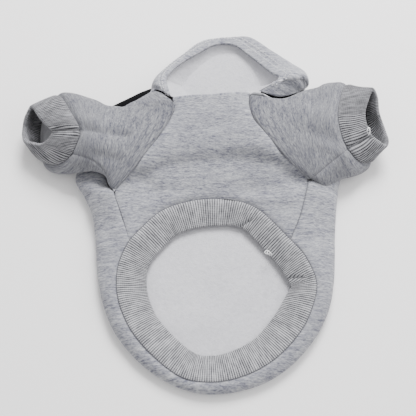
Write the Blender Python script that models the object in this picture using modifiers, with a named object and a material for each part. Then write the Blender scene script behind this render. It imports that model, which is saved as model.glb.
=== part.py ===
# Dog hoodie of heather-grey fleece, lying on its back with the hood thrown back.
# Metres, +Z up, +Y towards the hood, origin on the table under the middle of the outline.

import math

import bmesh
import bpy
import numpy as np

NAME = "dog_hoodie"

# Driving sizes

CHEST_HALF = 0.100          # half the width of the lying body, the unit of the x columns
BODY_LENGTH = 0.230         # front neckline to tail edge, the unit of the y columns
CHEST_LOFT = 0.035          # height of the chest cloth above the table, the unit of the z columns
RIB_WIDTH = 0.020           # waist band, seam to free edge
SLEEVE_ROOT = 0.078         # middle line to where the sleeve tube starts
SLEEVE_REACH = 0.043        # sleeve tube, from there to the cuff seam
SLEEVE_WIDTH = 0.060        # sleeve tube across, as it lies
SLEEVE_DEPTH = 0.029        # sleeve tube front to back, as it lies
CUFF_LENGTH = 0.021         # cuff, seam to mouth
HOOD_REACH = 0.074          # front neckline to the top edge of the hood
HOOD_HALF = 0.064           # half the width of the lying hood
HOOD_LOFT = 0.034           # height of the feet of the hood above the table
FLEECE = 0.0020             # thickness of the body cloth
RIB_FLEECE = 0.0026         # thickness of the doubled rib knit
SEAM_GAP = 0.0004           # clear gap between two sewn pieces
CREASE = 0.0009             # what each piece gives way where a seam is folded
ROLL = 0.0045               # how far a fold turns back in where it meets the table

# Mesh counts

CHEST_ROWS = 16
CHEST_COLUMNS = 20
TAIL_STATIONS = 44
SIDE_STATIONS = 7
SHOULDER_STATIONS = 12
OVER_ROWS = 5
UNDER_ROWS = 4
NECK_STATIONS = 14
TUBE_STATIONS = 38
TUBE_ROWS = 8
CUFF_ROWS = 5
BAND_ROWS = 4
HOOD_STATIONS = 36

# Waist band seam over the chest, left side seam to right side seam: x, y, z of the seam,
# width of the band and height of its free edge
WAIST_OVER = (
    # x,     y,     z,    band, edge
    (-0.60, 0.506, 0.49, 0.97, 0.26),
    (-0.52, 0.462, 0.45, 1.00, 0.25),
    (-0.37, 0.397, 0.40, 1.02, 0.24),
    (-0.18, 0.362, 0.37, 1.03, 0.24),
    (0.03, 0.349, 0.36, 1.02, 0.24),
    (0.25, 0.360, 0.38, 0.92, 0.25),
    (0.42, 0.400, 0.42, 0.88, 0.28),
    (0.63, 0.503, 0.50, 0.86, 0.33),
)
# The same seam round the tail, right side seam to left side seam, with the outline outside it
WAIST_UNDER = (
    # x,     y,     z,    band, edge, outline x, y
    (0.63, 0.503, 0.50, 0.86, 0.33, 0.975, 0.495),
    (0.735, 0.560, 0.50, 0.90, 0.34, 0.965, 0.560),
    (0.815, 0.647, 0.47, 0.88, 0.30, 0.945, 0.648),
    (0.78, 0.728, 0.42, 1.02, 0.20, 0.895, 0.738),
    (0.68, 0.812, 0.36, 1.08, 0.16, 0.775, 0.832),
    (0.49, 0.897, 0.31, 1.02, 0.15, 0.580, 0.920),
    (0.27, 0.948, 0.28, 0.98, 0.15, 0.340, 0.977),
    (0.03, 0.969, 0.27, 0.94, 0.15, 0.035, 1.000),
    (-0.20, 0.952, 0.27, 0.98, 0.15, -0.230, 0.976),
    (-0.42, 0.880, 0.30, 1.02, 0.16, -0.485, 0.906),
    (-0.58, 0.798, 0.35, 1.04, 0.17, -0.675, 0.814),
    (-0.67, 0.708, 0.40, 1.05, 0.19, -0.775, 0.722),
    (-0.69, 0.625, 0.43, 1.03, 0.22, -0.830, 0.628),
    (-0.66, 0.560, 0.46, 0.98, 0.25, -0.850, 0.552),
    (-0.60, 0.506, 0.49, 0.97, 0.26, -0.865, 0.488),
)

# Front neckline, left corner to right corner
NECKLINE = (
    # x,     y,     z
    (-0.28, 0.013, 0.97),
    (-0.13, 0.007, 1.00),
    (0.03, 0.004, 1.01),
    (0.19, -0.003, 1.00),
    (0.33, -0.007, 0.97),
)

# Front raglan seams, neckline corner to armpit, without the two ends
RAGLAN_LEFT = (
    (-0.262, 0.047, 0.96),
    (-0.315, 0.103, 0.95),
    (-0.41, 0.171, 0.92),
    (-0.51, 0.231, 0.87),
    (-0.61, 0.288, 0.79),
)
RAGLAN_RIGHT = (
    (0.334, 0.055, 0.96),
    (0.417, 0.123, 0.95),
    (0.524, 0.186, 0.93),
    (0.638, 0.245, 0.88),
)

# Side and back raglan seams, waist band to shoulder: x, y, z of the seam and of the outline
# of the cloth outside it. The armpit, the end of the back panel and the end of the yoke are
# rows of these tables, and the rows after them run up the foot of the hood.
SHOULDER_LEFT = (
    # seam x, y,    z,    outline x, y,  z
    (-0.67, 0.414, 0.57, -0.90, 0.400, 0.26),
    (-0.733, 0.343, 0.66, -0.98, 0.325, 0.24),
    (-0.80, 0.283, 0.40, -1.055, 0.262, 0.17),
    (-0.86, 0.196, 0.30, -1.00, 0.176, 0.15),
    (-0.85, 0.105, 0.30, -0.93, 0.090, 0.14),
    (-0.77, 0.030, 0.34, -0.85, 0.008, 0.14),
    (-0.67, -0.005, 0.42, -0.76, -0.034, 0.14),
    (-0.58, -0.036, 0.43, -0.65, -0.062, 0.15),
    (-0.49, -0.066, 0.45, -0.53, -0.088, 0.17),
    (-0.41, -0.050, 0.66, -0.53, -0.088, 0.17),
    (-0.34, -0.014, 0.88, -0.53, -0.088, 0.17),
)
SHOULDER_RIGHT = (
    (0.71, 0.422, 0.57, 0.995, 0.400, 0.26),
    (0.785, 0.303, 0.69, 1.03, 0.303, 0.24),
    (0.85, 0.243, 0.42, 1.07, 0.222, 0.17),
    (0.90, 0.161, 0.30, 1.02, 0.140, 0.15),
    (0.905, 0.074, 0.31, 0.98, 0.060, 0.14),
    (0.87, -0.004, 0.33, 0.94, -0.018, 0.14),
    (0.77, -0.052, 0.38, 0.82, -0.092, 0.15),
    (0.65, -0.030, 0.57, 0.82, -0.092, 0.15),
    (0.53, -0.015, 0.76, 0.82, -0.092, 0.15),
    (0.43, -0.024, 0.93, 0.82, -0.092, 0.15),
)
ARMPIT_ROW = 1
YOKE_ROW = 3
NECK_ROW_LEFT = 8
NECK_ROW_RIGHT = 6
# Back neck seam on the table, from the left foot of the hood to the right one: x, y
BACK_NECK = (
    (-0.25, -0.058),
    (0.06, -0.048),
    (0.40, -0.052),
)

# Sleeve tubes, armhole to cuff seam, and cuffs, seam to mouth.
# along is the way out from the sleeve root or along the cuff, y and z are the middle of the
# section, width and depth its size, lift tips its mouth up, yaw turns it towards the hood,
# dent is how far the front is pushed back along the tube, all in degrees or shares.
SLEEVE_LEFT = (
    # along, y,   z,    width, depth, lift, yaw, dent
    (0.40, 0.112, 0.70, 0.95, 0.92, 16.0, 0.0, 0.00),
    (0.78, 0.100, 0.66, 1.07, 1.00, 26.0, 1.0, 0.02),
    (1.00, 0.092, 0.63, 1.00, 0.98, 36.0, 3.0, 0.08),
)
SLEEVE_RIGHT = (
    (0.40, 0.103, 0.68, 1.32, 0.92, 16.0, 6.0, 0.00),
    (0.78, 0.086, 0.66, 1.25, 1.00, 26.0, 10.0, 0.00),
    (1.00, 0.072, 0.64, 1.10, 0.98, 36.0, 13.0, 0.00),
)
CUFF_SECTIONS_LEFT = (
    (0.50, 0.086, 0.64, 0.76, 0.84, 38.0, 2.0, 0.30),
    (1.00, 0.082, 0.62, 0.54, 0.70, 40.0, 0.0, 0.60),
)
CUFF_SECTIONS_RIGHT = (
    (0.50, 0.068, 0.66, 0.96, 0.88, 38.0, 10.0, 0.00),
    (1.00, 0.062, 0.68, 0.82, 0.76, 40.0, 8.0, 0.02),
)
FOOT_GAP_LEFT = 0.0034      # room between the left foot of the hood and the sleeve and yoke
FOOT_GAP_RIGHT = 0.0046     # the same at the right foot, where it stands further off
BAND_DROOP = 1.3            # how late the waist band sinks towards its free edge
WING_FULLNESS = 0.55        # how round the cloth beside the armpits is, 1 is a quarter circle
RAMP_STATIONS = 0.7         # stations over which the back panel dips under the sleeve
HOOD_HEART = 0.45           # middle of the hood, a share of its reach
UNDERARM_ANGLE = 142.0      # where the underarm seam sits round a section, from the hood side
TOP_ANGLE = 8.0             # where the shoulder end of the armhole sits
DENT_SPREAD = 34.0          # half width of the dent round the section
SQUARENESS = 2.3            # exponent of the flattened sections

# Rim of the hood, left foot to right foot, without the feet: x, y, z of the hem's inner edge
# and of the outline. x counts in HOOD_HALF from the middle of the hood, y in HOOD_REACH.
HOOD_MIDDLE = 0.016
HOOD_RIM = (
    # hem x, y,     z,    outline x, y, z
    (-0.77, 0.20, 0.78, -0.95, 0.36, 0.28),
    (-0.77, 0.37, 0.58, -0.79, 0.55, 0.22),
    (-0.61, 0.57, 0.40, -0.60, 0.72, 0.18),
    (-0.35, 0.76, 0.29, -0.36, 0.92, 0.15),
    (-0.15, 0.87, 0.25, -0.16, 0.98, 0.15),
    (0.08, 0.88, 0.24, 0.08, 1.00, 0.15),
    (0.25, 0.77, 0.24, 0.32, 0.99, 0.15),
    (0.43, 0.60, 0.32, 0.58, 0.81, 0.18),
    (0.58, 0.42, 0.50, 0.83, 0.62, 0.24),
    (0.66, 0.31, 0.76, 1.01, 0.46, 0.34),
    (0.62, 0.21, 0.94, 1.06, 0.36, 0.28),
)

# Finishes: name, colour, roughness
FLEECE_GREY = ("fleece_grey", (0.42, 0.42, 0.45), 0.95)
RIB_GREY = ("rib_grey", (0.38, 0.38, 0.40), 0.92)
YOKE_BLACK = ("yoke_black", (0.01, 0.01, 0.012), 0.9)


# Curves and grids

def body_point(x, y, z):
    """A place on the body from its shares of width, length and loft."""
    return np.array((x * CHEST_HALF, -y * BODY_LENGTH, z * CHEST_LOFT))


def hood_point(x, y, z):
    """A place on the hood from its shares of width, reach and loft."""
    return np.array((HOOD_MIDDLE + x * HOOD_HALF, y * HOOD_REACH, z * HOOD_LOFT))


def spline_points(controls, values):
    """Points of a Catmull-Rom curve through the controls, at values in row numbers."""
    controls = np.asarray(controls, float)
    last = len(controls) - 1
    points = []
    for value in values:
        row = min(int(value), last - 1)
        t = value - row
        before = controls[row - 1] if row > 0 else 2 * controls[0] - controls[1]
        after = controls[row + 2] if row + 2 <= last else 2 * controls[last] - controls[last - 1]
        a, b = controls[row], controls[row + 1]
        points.append(0.5 * (2 * a + (b - before) * t
                             + (2 * before - 5 * a + 4 * b - after) * t * t
                             + (3 * a - before - 3 * b + after) * t ** 3))
    return np.array(points)


def even(points, count):
    """A run of points, with any further columns, spread evenly again with its ends kept."""
    steps = np.linalg.norm(np.diff(points[:, :3], axis=0), axis=1)
    along = np.concatenate(([0.0], np.cumsum(steps)))
    places = np.linspace(0.0, along[-1], count)
    return np.column_stack([np.interp(places, along, column) for column in points.T])


def spread(controls, count):
    """A smooth curve through the controls as count evenly spread points."""
    fine = spline_points(controls, np.linspace(0, len(controls) - 1, 40 * len(controls)))
    return even(fine, count)


def length_of(points):
    return np.linalg.norm(np.diff(points, axis=0), axis=1).sum()


def coons(top, bottom, left, right):
    """A surface between four edges; rows run from top to bottom, columns from left to right."""
    v = np.linspace(0, 1, len(left))[:, None, None]
    u = np.linspace(0, 1, len(top))[None, :, None]
    across = (1 - u) * left[:, None, :] + u * right[:, None, :]
    down = (1 - v) * top[None, :, :] + v * bottom[None, :, :]
    corners = ((1 - v) * ((1 - u) * top[0] + u * top[-1])
               + v * ((1 - u) * bottom[0] + u * bottom[-1]))
    return across + down - corners


def pull_back(grid, first=0.0, last=0.0):
    """Draws the first and the last row of a grid back from their seams by these distances."""
    grid = grid.copy()
    for distance, edge, inner in ((first, 0, 1), (last, -1, -2)):
        step = grid[inner] - grid[edge]
        length = np.linalg.norm(step, axis=-1, keepdims=True)
        grid[edge] += step / np.maximum(length, distance + 1e-6) * distance
    return grid


def pull_back_sides(grid, first=0.0, last=0.0):
    """The same for the first and the last column."""
    return np.swapaxes(pull_back(np.swapaxes(grid, 0, 1), first, last), 0, 1)


def towards(points, target, distance):
    """Points moved level towards a target by a distance."""
    step = target - points
    step[:, 2] = 0
    return points + step / np.linalg.norm(step, axis=1, keepdims=True) * distance


def on_table(points):
    """The points moved down to the middle of cloth that lies flat."""
    points = np.array(points, float)
    points[:, 2] = FLEECE / 2
    return points


def rolled_edge(seam, outline, table, fullness):
    """Rows of cloth from a seam over its outline and under to the table."""
    rows = []
    for angle in np.linspace(0, math.pi / 2, OVER_ROWS):
        row = seam + (outline - seam) * math.sin(angle)
        row[:, 2] = outline[:, 2] + (seam[:, 2] - outline[:, 2]) * math.cos(angle) ** (1 / fullness)
        rows.append(row)
    for angle in np.linspace(0, math.pi / 2, UNDER_ROWS)[1:]:
        row = outline + (table - outline) * (1 - math.cos(angle))
        row[:, 2] = outline[:, 2] + (table[:, 2] - outline[:, 2]) * math.sin(angle)
        rows.append(row)
    return np.array(rows)


# Objects

def new_collection(name):
    collection = bpy.data.collections.new(name)
    bpy.context.scene.collection.children.link(collection)
    return collection


def new_finish(name, colour, roughness):
    """A plain cloth finish."""
    material = bpy.data.materials.new(name)
    material.use_nodes = True
    shader = material.node_tree.nodes["Principled BSDF"]
    shader.inputs["Base Color"].default_value = (*colour, 1.0)
    shader.inputs["Roughness"].default_value = roughness
    shader.inputs["Metallic"].default_value = 0.0
    material.diffuse_color = (*colour, 1.0)
    return material


def add_grid(bm, grid, closed=False):
    """Adds a grid of quads and returns its vertices row by row."""
    rows = [[bm.verts.new(point) for point in row] for row in grid]
    columns = len(rows[0])
    pairs = [(i, (i + 1) % columns) for i in range(columns if closed else columns - 1)]
    for upper, lower in zip(rows, rows[1:]):
        for i, j in pairs:
            bm.faces.new((upper[i], upper[j], lower[j], lower[i]))
    return rows


def add_points(bm, points):
    return [bm.verts.new(point) for point in points]


def cloth_piece(name, bm, finish, thickness):
    """Makes an open cloth surface a named shell, half its thickness to each side."""
    bmesh.ops.recalc_face_normals(bm, faces=bm.faces)
    mesh = bpy.data.meshes.new(name)
    bm.to_mesh(mesh)
    bm.free()
    mesh.materials.append(new_finish(*finish))
    mesh.shade_smooth()
    piece = bpy.data.objects.new(name, mesh)
    shell = piece.modifiers.new("cloth", "SOLIDIFY")
    shell.thickness = thickness
    shell.offset = 0.0
    return piece


# Seams shared by the pieces

def waist_seam():
    """The seam of the waist band over the chest and round the tail, both clockwise from above."""
    over = [(*body_point(x, y, z), band * RIB_WIDTH, edge * CHEST_LOFT)
            for x, y, z, band, edge in WAIST_OVER]
    under = [(*body_point(x, y, z), band * RIB_WIDTH, edge * CHEST_LOFT, *body_point(ox, oy, z / 2))
             for x, y, z, band, edge, ox, oy in WAIST_UNDER]
    return spread(over, CHEST_COLUMNS), spread(under, TAIL_STATIONS)


def shoulder_seam(rows, waist_end, outline_end, neck_row):
    """The side seam, the back raglan seam along back panel and yoke, and the foot of the hood."""
    table = [np.concatenate((waist_end, outline_end))]
    table += [np.concatenate((body_point(*row[:3]), body_point(*row[3:]))) for row in rows]
    side = spread(table[:ARMPIT_ROW + 2], SIDE_STATIONS)
    panel = spread(table[ARMPIT_ROW + 1:YOKE_ROW + 2], SIDE_STATIONS)
    yoke = spread(table[YOKE_ROW + 1:neck_row + 2], SHOULDER_STATIONS)
    foot = np.array([row[:3] for row in table[neck_row + 1:]])
    return {"side": side, "panel": panel, "yoke": yoke, "foot": foot}


def under_sleeve(curve, ramp=0):
    """A back raglan seam lowered to lie under the sleeve's edge, over ramp stations."""
    lowered = curve.copy()
    steps = np.minimum(1.0, (np.arange(len(curve)) + 0.5) / ramp) if ramp else np.ones(len(curve))
    lowered[:, 2] -= steps * (FLEECE + SEAM_GAP)
    return lowered


# Pieces

def make_waist_band(over, under):
    """The ribbed ring, from its seam in to its free edge."""
    loop = np.vstack((over[:-1, :5], under[:-1, :5]))
    seam = loop[:, :3]
    ahead = np.roll(seam, -1, axis=0) - np.roll(seam, 1, axis=0)
    inward = np.column_stack((ahead[:, 1], -ahead[:, 0], np.zeros(len(seam))))
    inward /= np.linalg.norm(inward, axis=1, keepdims=True)
    edge = seam + inward * loop[:, 3:4]
    edge[:, 2] = loop[:, 4]
    rows = []
    for share in np.linspace(0, 1, BAND_ROWS):
        row = seam + (edge - seam) * share
        row[:, 2] = seam[:, 2] + (edge[:, 2] - seam[:, 2]) * share ** BAND_DROOP
        rows.append(row)
    bm = bmesh.new()
    add_grid(bm, pull_back(np.array(rows), first=SEAM_GAP), closed=True)
    return cloth_piece("waist_band", bm, RIB_GREY, RIB_FLEECE)


def make_chest_panel(over, front_left, front_right, left, right):
    """The chest, stretched between neckline, raglan seams, side seams and waist band."""
    neckline = spread([body_point(*row) for row in NECKLINE], CHEST_COLUMNS)
    left_edge = even(np.vstack((front_left[:-1], left["side"][::-1, :3])), CHEST_ROWS)
    right_edge = even(np.vstack((front_right[:-1], right["side"][::-1, :3])), CHEST_ROWS)
    grid = coons(neckline, over[:, :3], left_edge, right_edge)
    grid = pull_back_sides(pull_back(grid, last=CREASE), first=CREASE, last=CREASE)
    bm = bmesh.new()
    add_grid(bm, grid)
    return cloth_piece("chest_panel", bm, FLEECE_GREY, FLEECE)


def make_back_panel(under, left, right):
    """The back, flat on the table and rolled up all round to its seams."""
    left_panel = under_sleeve(left["panel"], RAMP_STATIONS)
    right_panel = under_sleeve(right["panel"], RAMP_STATIONS)
    run = np.vstack((left_panel[::-1], left["side"][::-1][1:],
                     under[::-1][1:-1][:, [0, 1, 2, 5, 6, 7]],
                     right["side"], right_panel[1:]))
    seam, outline = run[:, :3], run[:, 3:6]
    middle = outline.mean(axis=0)
    table = on_table(towards(outline, middle, ROLL))
    flat = towards(table, middle, ROLL)
    wing = len(left_panel) + len(left["side"]) - 1
    fullness = np.ones(len(run))
    fullness[:wing] = np.linspace(WING_FULLNESS, 1.0, wing)
    fullness[-wing:] = np.linspace(1.0, WING_FULLNESS, wing)
    strip = rolled_edge(seam, outline, table, fullness)
    strip = pull_back_sides(np.vstack((strip, flat[None])), first=SEAM_GAP, last=SEAM_GAP)
    bm = bmesh.new()
    rows = add_grid(bm, pull_back(strip, first=CREASE))
    bm.faces.new(rows[-1])
    return cloth_piece("back_panel", bm, FLEECE_GREY, FLEECE)


def back_neck_seam(left, right):
    """Where the hood is sewn to the yoke, across the table."""
    ends = [on_table(towards(side["yoke"][-1:, 3:6], np.zeros(3), ROLL))[0] for side in (left, right)]
    middle = [(x * CHEST_HALF, -y * BODY_LENGTH, FLEECE / 2) for x, y in BACK_NECK]
    return spread([ends[0], *middle, ends[1]], NECK_STATIONS)


def make_back_yoke(left, right, neck):
    """The yoke, flat on the table between its two rolled shoulders."""
    bm = bmesh.new()
    borders = []
    for side in (left, right):
        run = under_sleeve(side["yoke"])
        seam, outline = run[:, :3], run[:, 3:6]
        table = on_table(towards(outline, np.zeros(3), ROLL))
        flat = towards(table, np.zeros(3), ROLL)
        strip = np.vstack((rolled_edge(seam, outline, table, WING_FULLNESS), flat[None]))
        strip = pull_back_sides(strip, first=SEAM_GAP, last=CREASE)
        borders.append(add_grid(bm, pull_back(strip, first=CREASE))[-1])
    inner = add_points(bm, neck[1:-1] - np.array((0, SEAM_GAP / 2, 0)))
    bm.faces.new(borders[0] + inner + borders[1][::-1])
    return cloth_piece("back_yoke", bm, YOKE_BLACK, FLEECE)


def make_hood(left, right, neck):
    """The hood, a flat pocket open upwards, with its hem turned in and a foot at each side."""
    feet = []
    for side, gap, end in ((left, FOOT_GAP_LEFT, neck[0]), (right, FOOT_GAP_RIGHT, neck[-1])):
        upper = np.vstack((side["foot"][::-1], side["yoke"][-1:, 3:6])) + np.array((0, gap, 0))
        feet.append(np.vstack((upper, end)))
    rows = [(*feet[0][0], *feet[0][-2])]
    rows += [(*hood_point(*row[:3]), *hood_point(*row[3:])) for row in HOOD_RIM]
    rows += [(*feet[1][0], *feet[1][-2])]
    rim = spread(rows, HOOD_STATIONS)
    middle = hood_point(0, HOOD_HEART, 0)
    table = on_table(towards(rim[:, 3:6], middle, ROLL))
    strip = rolled_edge(rim[:, :3], rim[:, 3:6], table, 1.0)
    for foot, station in zip(feet, (0, -1)):
        strip[:, station] = spread(foot, len(strip))
    strip = np.vstack((strip, towards(table, middle, ROLL)[None]))
    strip = pull_back_sides(strip, first=CREASE, last=CREASE)
    bm = bmesh.new()
    border = add_grid(bm, strip)[-1]
    inner = add_points(bm, neck[1:-1] + np.array((0, SEAM_GAP / 2, 0)))
    bm.faces.new(border + inner[::-1])
    return cloth_piece("hood", bm, FLEECE_GREY, FLEECE)


def section_ring(row, sign, start, reach, angles):
    """Points round one flattened section of a sleeve or cuff."""
    along, y, z, width, depth, lift, yaw, dent = row
    lift, yaw = math.radians(lift), math.radians(yaw)
    centre = body_point(0, y, z) + np.array((sign * (start + along * reach), 0, 0))
    axis = np.array((sign * math.cos(lift) * math.cos(yaw), math.sin(yaw), math.sin(lift)))
    to_hood = np.array((-sign * math.sin(yaw), math.cos(yaw), 0.0))
    to_front = np.array((-sign * math.sin(lift), 0.0, math.cos(lift)))
    cosine, sine = np.cos(angles), np.sin(angles)
    across = np.sign(cosine) * np.abs(cosine) ** (2 / SQUARENESS) * width * SLEEVE_WIDTH / 2
    out = np.sign(sine) * np.abs(sine) ** (2 / SQUARENESS) * depth * SLEEVE_DEPTH / 2
    push = dent * CUFF_LENGTH * np.exp(-((np.degrees(angles) - 90) / DENT_SPREAD) ** 2)
    return (centre + across[:, None] * to_hood + out[:, None] * to_front - push[:, None] * axis)


def loft(rings, count):
    """Count rings that run smoothly through the given ones."""
    flat = np.array([ring.reshape(-1) for ring in rings])
    values = np.linspace(0, len(rings) - 1, count)
    return spline_points(flat, values).reshape(count, -1, 3)


def make_sleeve_and_cuff(side_name, sign, front, side, sections, cuff_sections):
    """Lofts a sleeve from its armhole to the cuff seam, and the cuff from there to its mouth."""
    back = np.vstack((side["panel"][:, :3], side["yoke"][1:, :3], side["foot"][1:]))
    raglan = np.vstack((front, back[1:], front[:1]))
    armhole = even(raglan, TUBE_STATIONS + 1)[:-1]
    share = length_of(front) / length_of(raglan)
    top, under = math.radians(TOP_ANGLE), math.radians(UNDERARM_ANGLE)
    places = np.arange(TUBE_STATIONS) / TUBE_STATIONS
    angles = np.interp(places, (0.0, share, 1.0), (top, under, 2 * math.pi + top))
    rings = [armhole] + [section_ring(row, sign, SLEEVE_ROOT, SLEEVE_REACH, angles) for row in sections]
    bm = bmesh.new()
    add_grid(bm, pull_back(loft(rings, TUBE_ROWS), first=CREASE, last=SEAM_GAP), closed=True)
    sleeve = cloth_piece("sleeve_" + side_name, bm, FLEECE_GREY, FLEECE)
    start = SLEEVE_ROOT + SLEEVE_REACH
    rings = [rings[-1]] + [section_ring(row, sign, start, CUFF_LENGTH, angles) for row in cuff_sections]
    bm = bmesh.new()
    add_grid(bm, pull_back(loft(rings, CUFF_ROWS), first=CREASE), closed=True)
    cuff = cloth_piece("cuff_" + side_name, bm, RIB_GREY, RIB_FLEECE)
    return sleeve, cuff


def stand_on_table(pieces, collection):
    """Hangs the pieces on an empty that puts the origin under the middle of the whole."""
    for piece in pieces:
        collection.objects.link(piece)
    graph = bpy.context.evaluated_depsgraph_get()
    corners = np.array([corner for piece in pieces for corner in piece.evaluated_get(graph).bound_box])
    low, high = corners.min(axis=0), corners.max(axis=0)
    base = bpy.data.objects.new(NAME + "_base", None)
    base.location = (-(low[0] + high[0]) / 2, -(low[1] + high[1]) / 2, -low[2])
    collection.objects.link(base)
    for piece in pieces:
        piece.parent = base


def build():
    for old in list(bpy.data.objects):
        bpy.data.objects.remove(old)
    over, under = waist_seam()
    left = shoulder_seam(SHOULDER_LEFT, over[0, :3], under[-1, 5:8], NECK_ROW_LEFT)
    right = shoulder_seam(SHOULDER_RIGHT, over[-1, :3], under[0, 5:8], NECK_ROW_RIGHT)
    fronts = []
    for corner, rows, side in ((NECKLINE[0], RAGLAN_LEFT, left), (NECKLINE[-1], RAGLAN_RIGHT, right)):
        fronts.append(spread([body_point(*corner), *(body_point(*row) for row in rows),
                              side["side"][-1, :3]], CHEST_ROWS * 2))
    neck = back_neck_seam(left, right)
    pieces = [
        make_back_panel(under, left, right),
        make_back_yoke(left, right, neck),
        make_chest_panel(over, *fronts, left, right),
        make_waist_band(over, under),
        make_hood(left, right, neck),
        *make_sleeve_and_cuff("left", -1, fronts[0], left, SLEEVE_LEFT, CUFF_SECTIONS_LEFT),
        *make_sleeve_and_cuff("right", 1, fronts[1], right, SLEEVE_RIGHT, CUFF_SECTIONS_RIGHT),
    ]
    stand_on_table(pieces, new_collection(NAME))


build()
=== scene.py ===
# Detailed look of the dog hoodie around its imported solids.
# Metres, +Z up, +Y towards the hood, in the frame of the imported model.

import math

import bmesh
import bpy
import numpy as np
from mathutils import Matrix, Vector


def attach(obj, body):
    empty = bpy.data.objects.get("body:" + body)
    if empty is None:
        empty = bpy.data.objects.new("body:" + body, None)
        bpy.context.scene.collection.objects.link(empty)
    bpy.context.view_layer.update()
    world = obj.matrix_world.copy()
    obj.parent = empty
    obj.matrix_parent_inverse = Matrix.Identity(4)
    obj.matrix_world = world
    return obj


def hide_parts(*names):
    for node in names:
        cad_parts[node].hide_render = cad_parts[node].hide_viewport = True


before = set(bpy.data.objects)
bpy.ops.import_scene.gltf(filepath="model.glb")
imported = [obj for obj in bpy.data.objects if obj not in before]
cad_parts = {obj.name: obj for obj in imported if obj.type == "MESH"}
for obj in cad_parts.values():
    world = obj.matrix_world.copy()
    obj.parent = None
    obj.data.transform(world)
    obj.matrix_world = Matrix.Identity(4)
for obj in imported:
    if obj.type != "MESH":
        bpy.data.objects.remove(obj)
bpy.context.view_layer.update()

# Driving sizes

CHEST_HALF = 0.100          # half the width of the lying body, the unit of the x columns
BODY_LENGTH = 0.230         # front neckline to tail edge, the unit of the y columns
CHEST_LOFT = 0.035          # height of the chest cloth above the table, the unit of the z columns
RIB_WIDTH = 0.020           # waist band, seam to free edge
HOOD_REACH = 0.074          # front neckline to the top edge of the hood
HOOD_HALF = 0.064           # half the width of the lying hood
HOOD_LOFT = 0.034           # height of the feet of the hood above the table
FLEECE = 0.0020             # thickness of the body cloth
RIB_FLEECE = 0.0026         # thickness of the doubled rib knit
SEAM_GAP = 0.0004           # clear gap between two sewn pieces
ROLL = 0.0045               # how far a fold turns back in where it meets the table

# Mesh counts

CHEST_ROWS = 16
CHEST_COLUMNS = 20
TAIL_STATIONS = 44
SIDE_STATIONS = 7
SHOULDER_STATIONS = 12
OVER_ROWS = 5
UNDER_ROWS = 4
NECK_STATIONS = 14
BAND_ROWS = 4
HOOD_STATIONS = 36
SLEEVE_COLUMNS = 300
SLEEVE_ROWS = 80
CUFF_ROWS = 22
CHEST_MESH = (124, 176)     # rows and columns of the finished grids
BACK_MESH = (40, 560)
HOOD_MESH = (46, 340)
YOKE_MESH = (30, 120)
WAIST_BAND_ROWS = 17
LINING_ROWS = 22
SLIVER_MESH = (12, 60)
YOKE_FLOOR_COLUMNS = 80
BACK_FLOOR = (30, 0.0009)   # rings of the floor, height of its unevenness
HOOD_FLOOR = (26, 0.0008)
BACK_CLOSING = 90           # points on the line that closes the floor's edge
HOOD_CLOSING = 60
FINE_STEPS = 40             # points a row of controls gets before it is spread evenly

# Waist band seam over the chest, left side seam to right side seam: x, y, z of the seam,
# width of the band and height of its free edge
WAIST_OVER = (
    # x,     y,     z,    band, edge
    (-0.60, 0.506, 0.49, 0.95, 0.19),
    (-0.52, 0.462, 0.45, 0.96, 0.18),
    (-0.37, 0.397, 0.40, 0.96, 0.17),
    (-0.18, 0.362, 0.37, 0.96, 0.17),
    (0.03, 0.349, 0.36, 0.95, 0.17),
    (0.25, 0.360, 0.38, 0.85, 0.18),
    (0.42, 0.400, 0.42, 0.82, 0.20),
    (0.63, 0.503, 0.50, 0.83, 0.22),
)
# The same seam round the tail, right side seam to left side seam, with the outline outside it
WAIST_UNDER = (
    # x,     y,     z,    band, edge, outline x, y
    (0.63, 0.503, 0.50, 0.83, 0.22, 0.975, 0.495),
    (0.735, 0.560, 0.50, 0.88, 0.22, 0.965, 0.560),
    (0.815, 0.647, 0.47, 0.86, 0.20, 0.945, 0.648),
    (0.78, 0.728, 0.42, 1.02, 0.17, 0.895, 0.738),
    (0.68, 0.812, 0.36, 1.08, 0.15, 0.775, 0.832),
    (0.49, 0.897, 0.31, 1.02, 0.14, 0.580, 0.920),
    (0.27, 0.948, 0.28, 0.98, 0.14, 0.340, 0.977),
    (0.03, 0.969, 0.27, 0.94, 0.14, 0.035, 1.000),
    (-0.20, 0.952, 0.27, 0.98, 0.14, -0.230, 0.976),
    (-0.42, 0.880, 0.30, 1.02, 0.15, -0.485, 0.906),
    (-0.58, 0.798, 0.35, 1.04, 0.16, -0.675, 0.814),
    (-0.67, 0.708, 0.40, 1.05, 0.17, -0.775, 0.722),
    (-0.69, 0.625, 0.43, 1.03, 0.18, -0.830, 0.628),
    (-0.66, 0.560, 0.46, 0.97, 0.19, -0.850, 0.552),
    (-0.60, 0.506, 0.49, 0.95, 0.19, -0.865, 0.488),
)

# Front neckline, left corner to right corner
NECKLINE = (
    # x,     y,     z
    (-0.28, 0.013, 0.97),
    (-0.13, 0.007, 1.00),
    (0.03, 0.004, 1.01),
    (0.19, -0.003, 1.00),
    (0.33, -0.007, 0.97),
)

# Front raglan seams, neckline corner to armpit, without the two ends
RAGLAN_LEFT = (
    (-0.262, 0.047, 0.96),
    (-0.315, 0.103, 0.95),
    (-0.41, 0.171, 0.92),
    (-0.51, 0.231, 0.87),
    (-0.61, 0.288, 0.79),
)
RAGLAN_RIGHT = (
    (0.334, 0.055, 0.96),
    (0.417, 0.123, 0.95),
    (0.524, 0.186, 0.93),
    (0.638, 0.245, 0.88),
)

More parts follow.
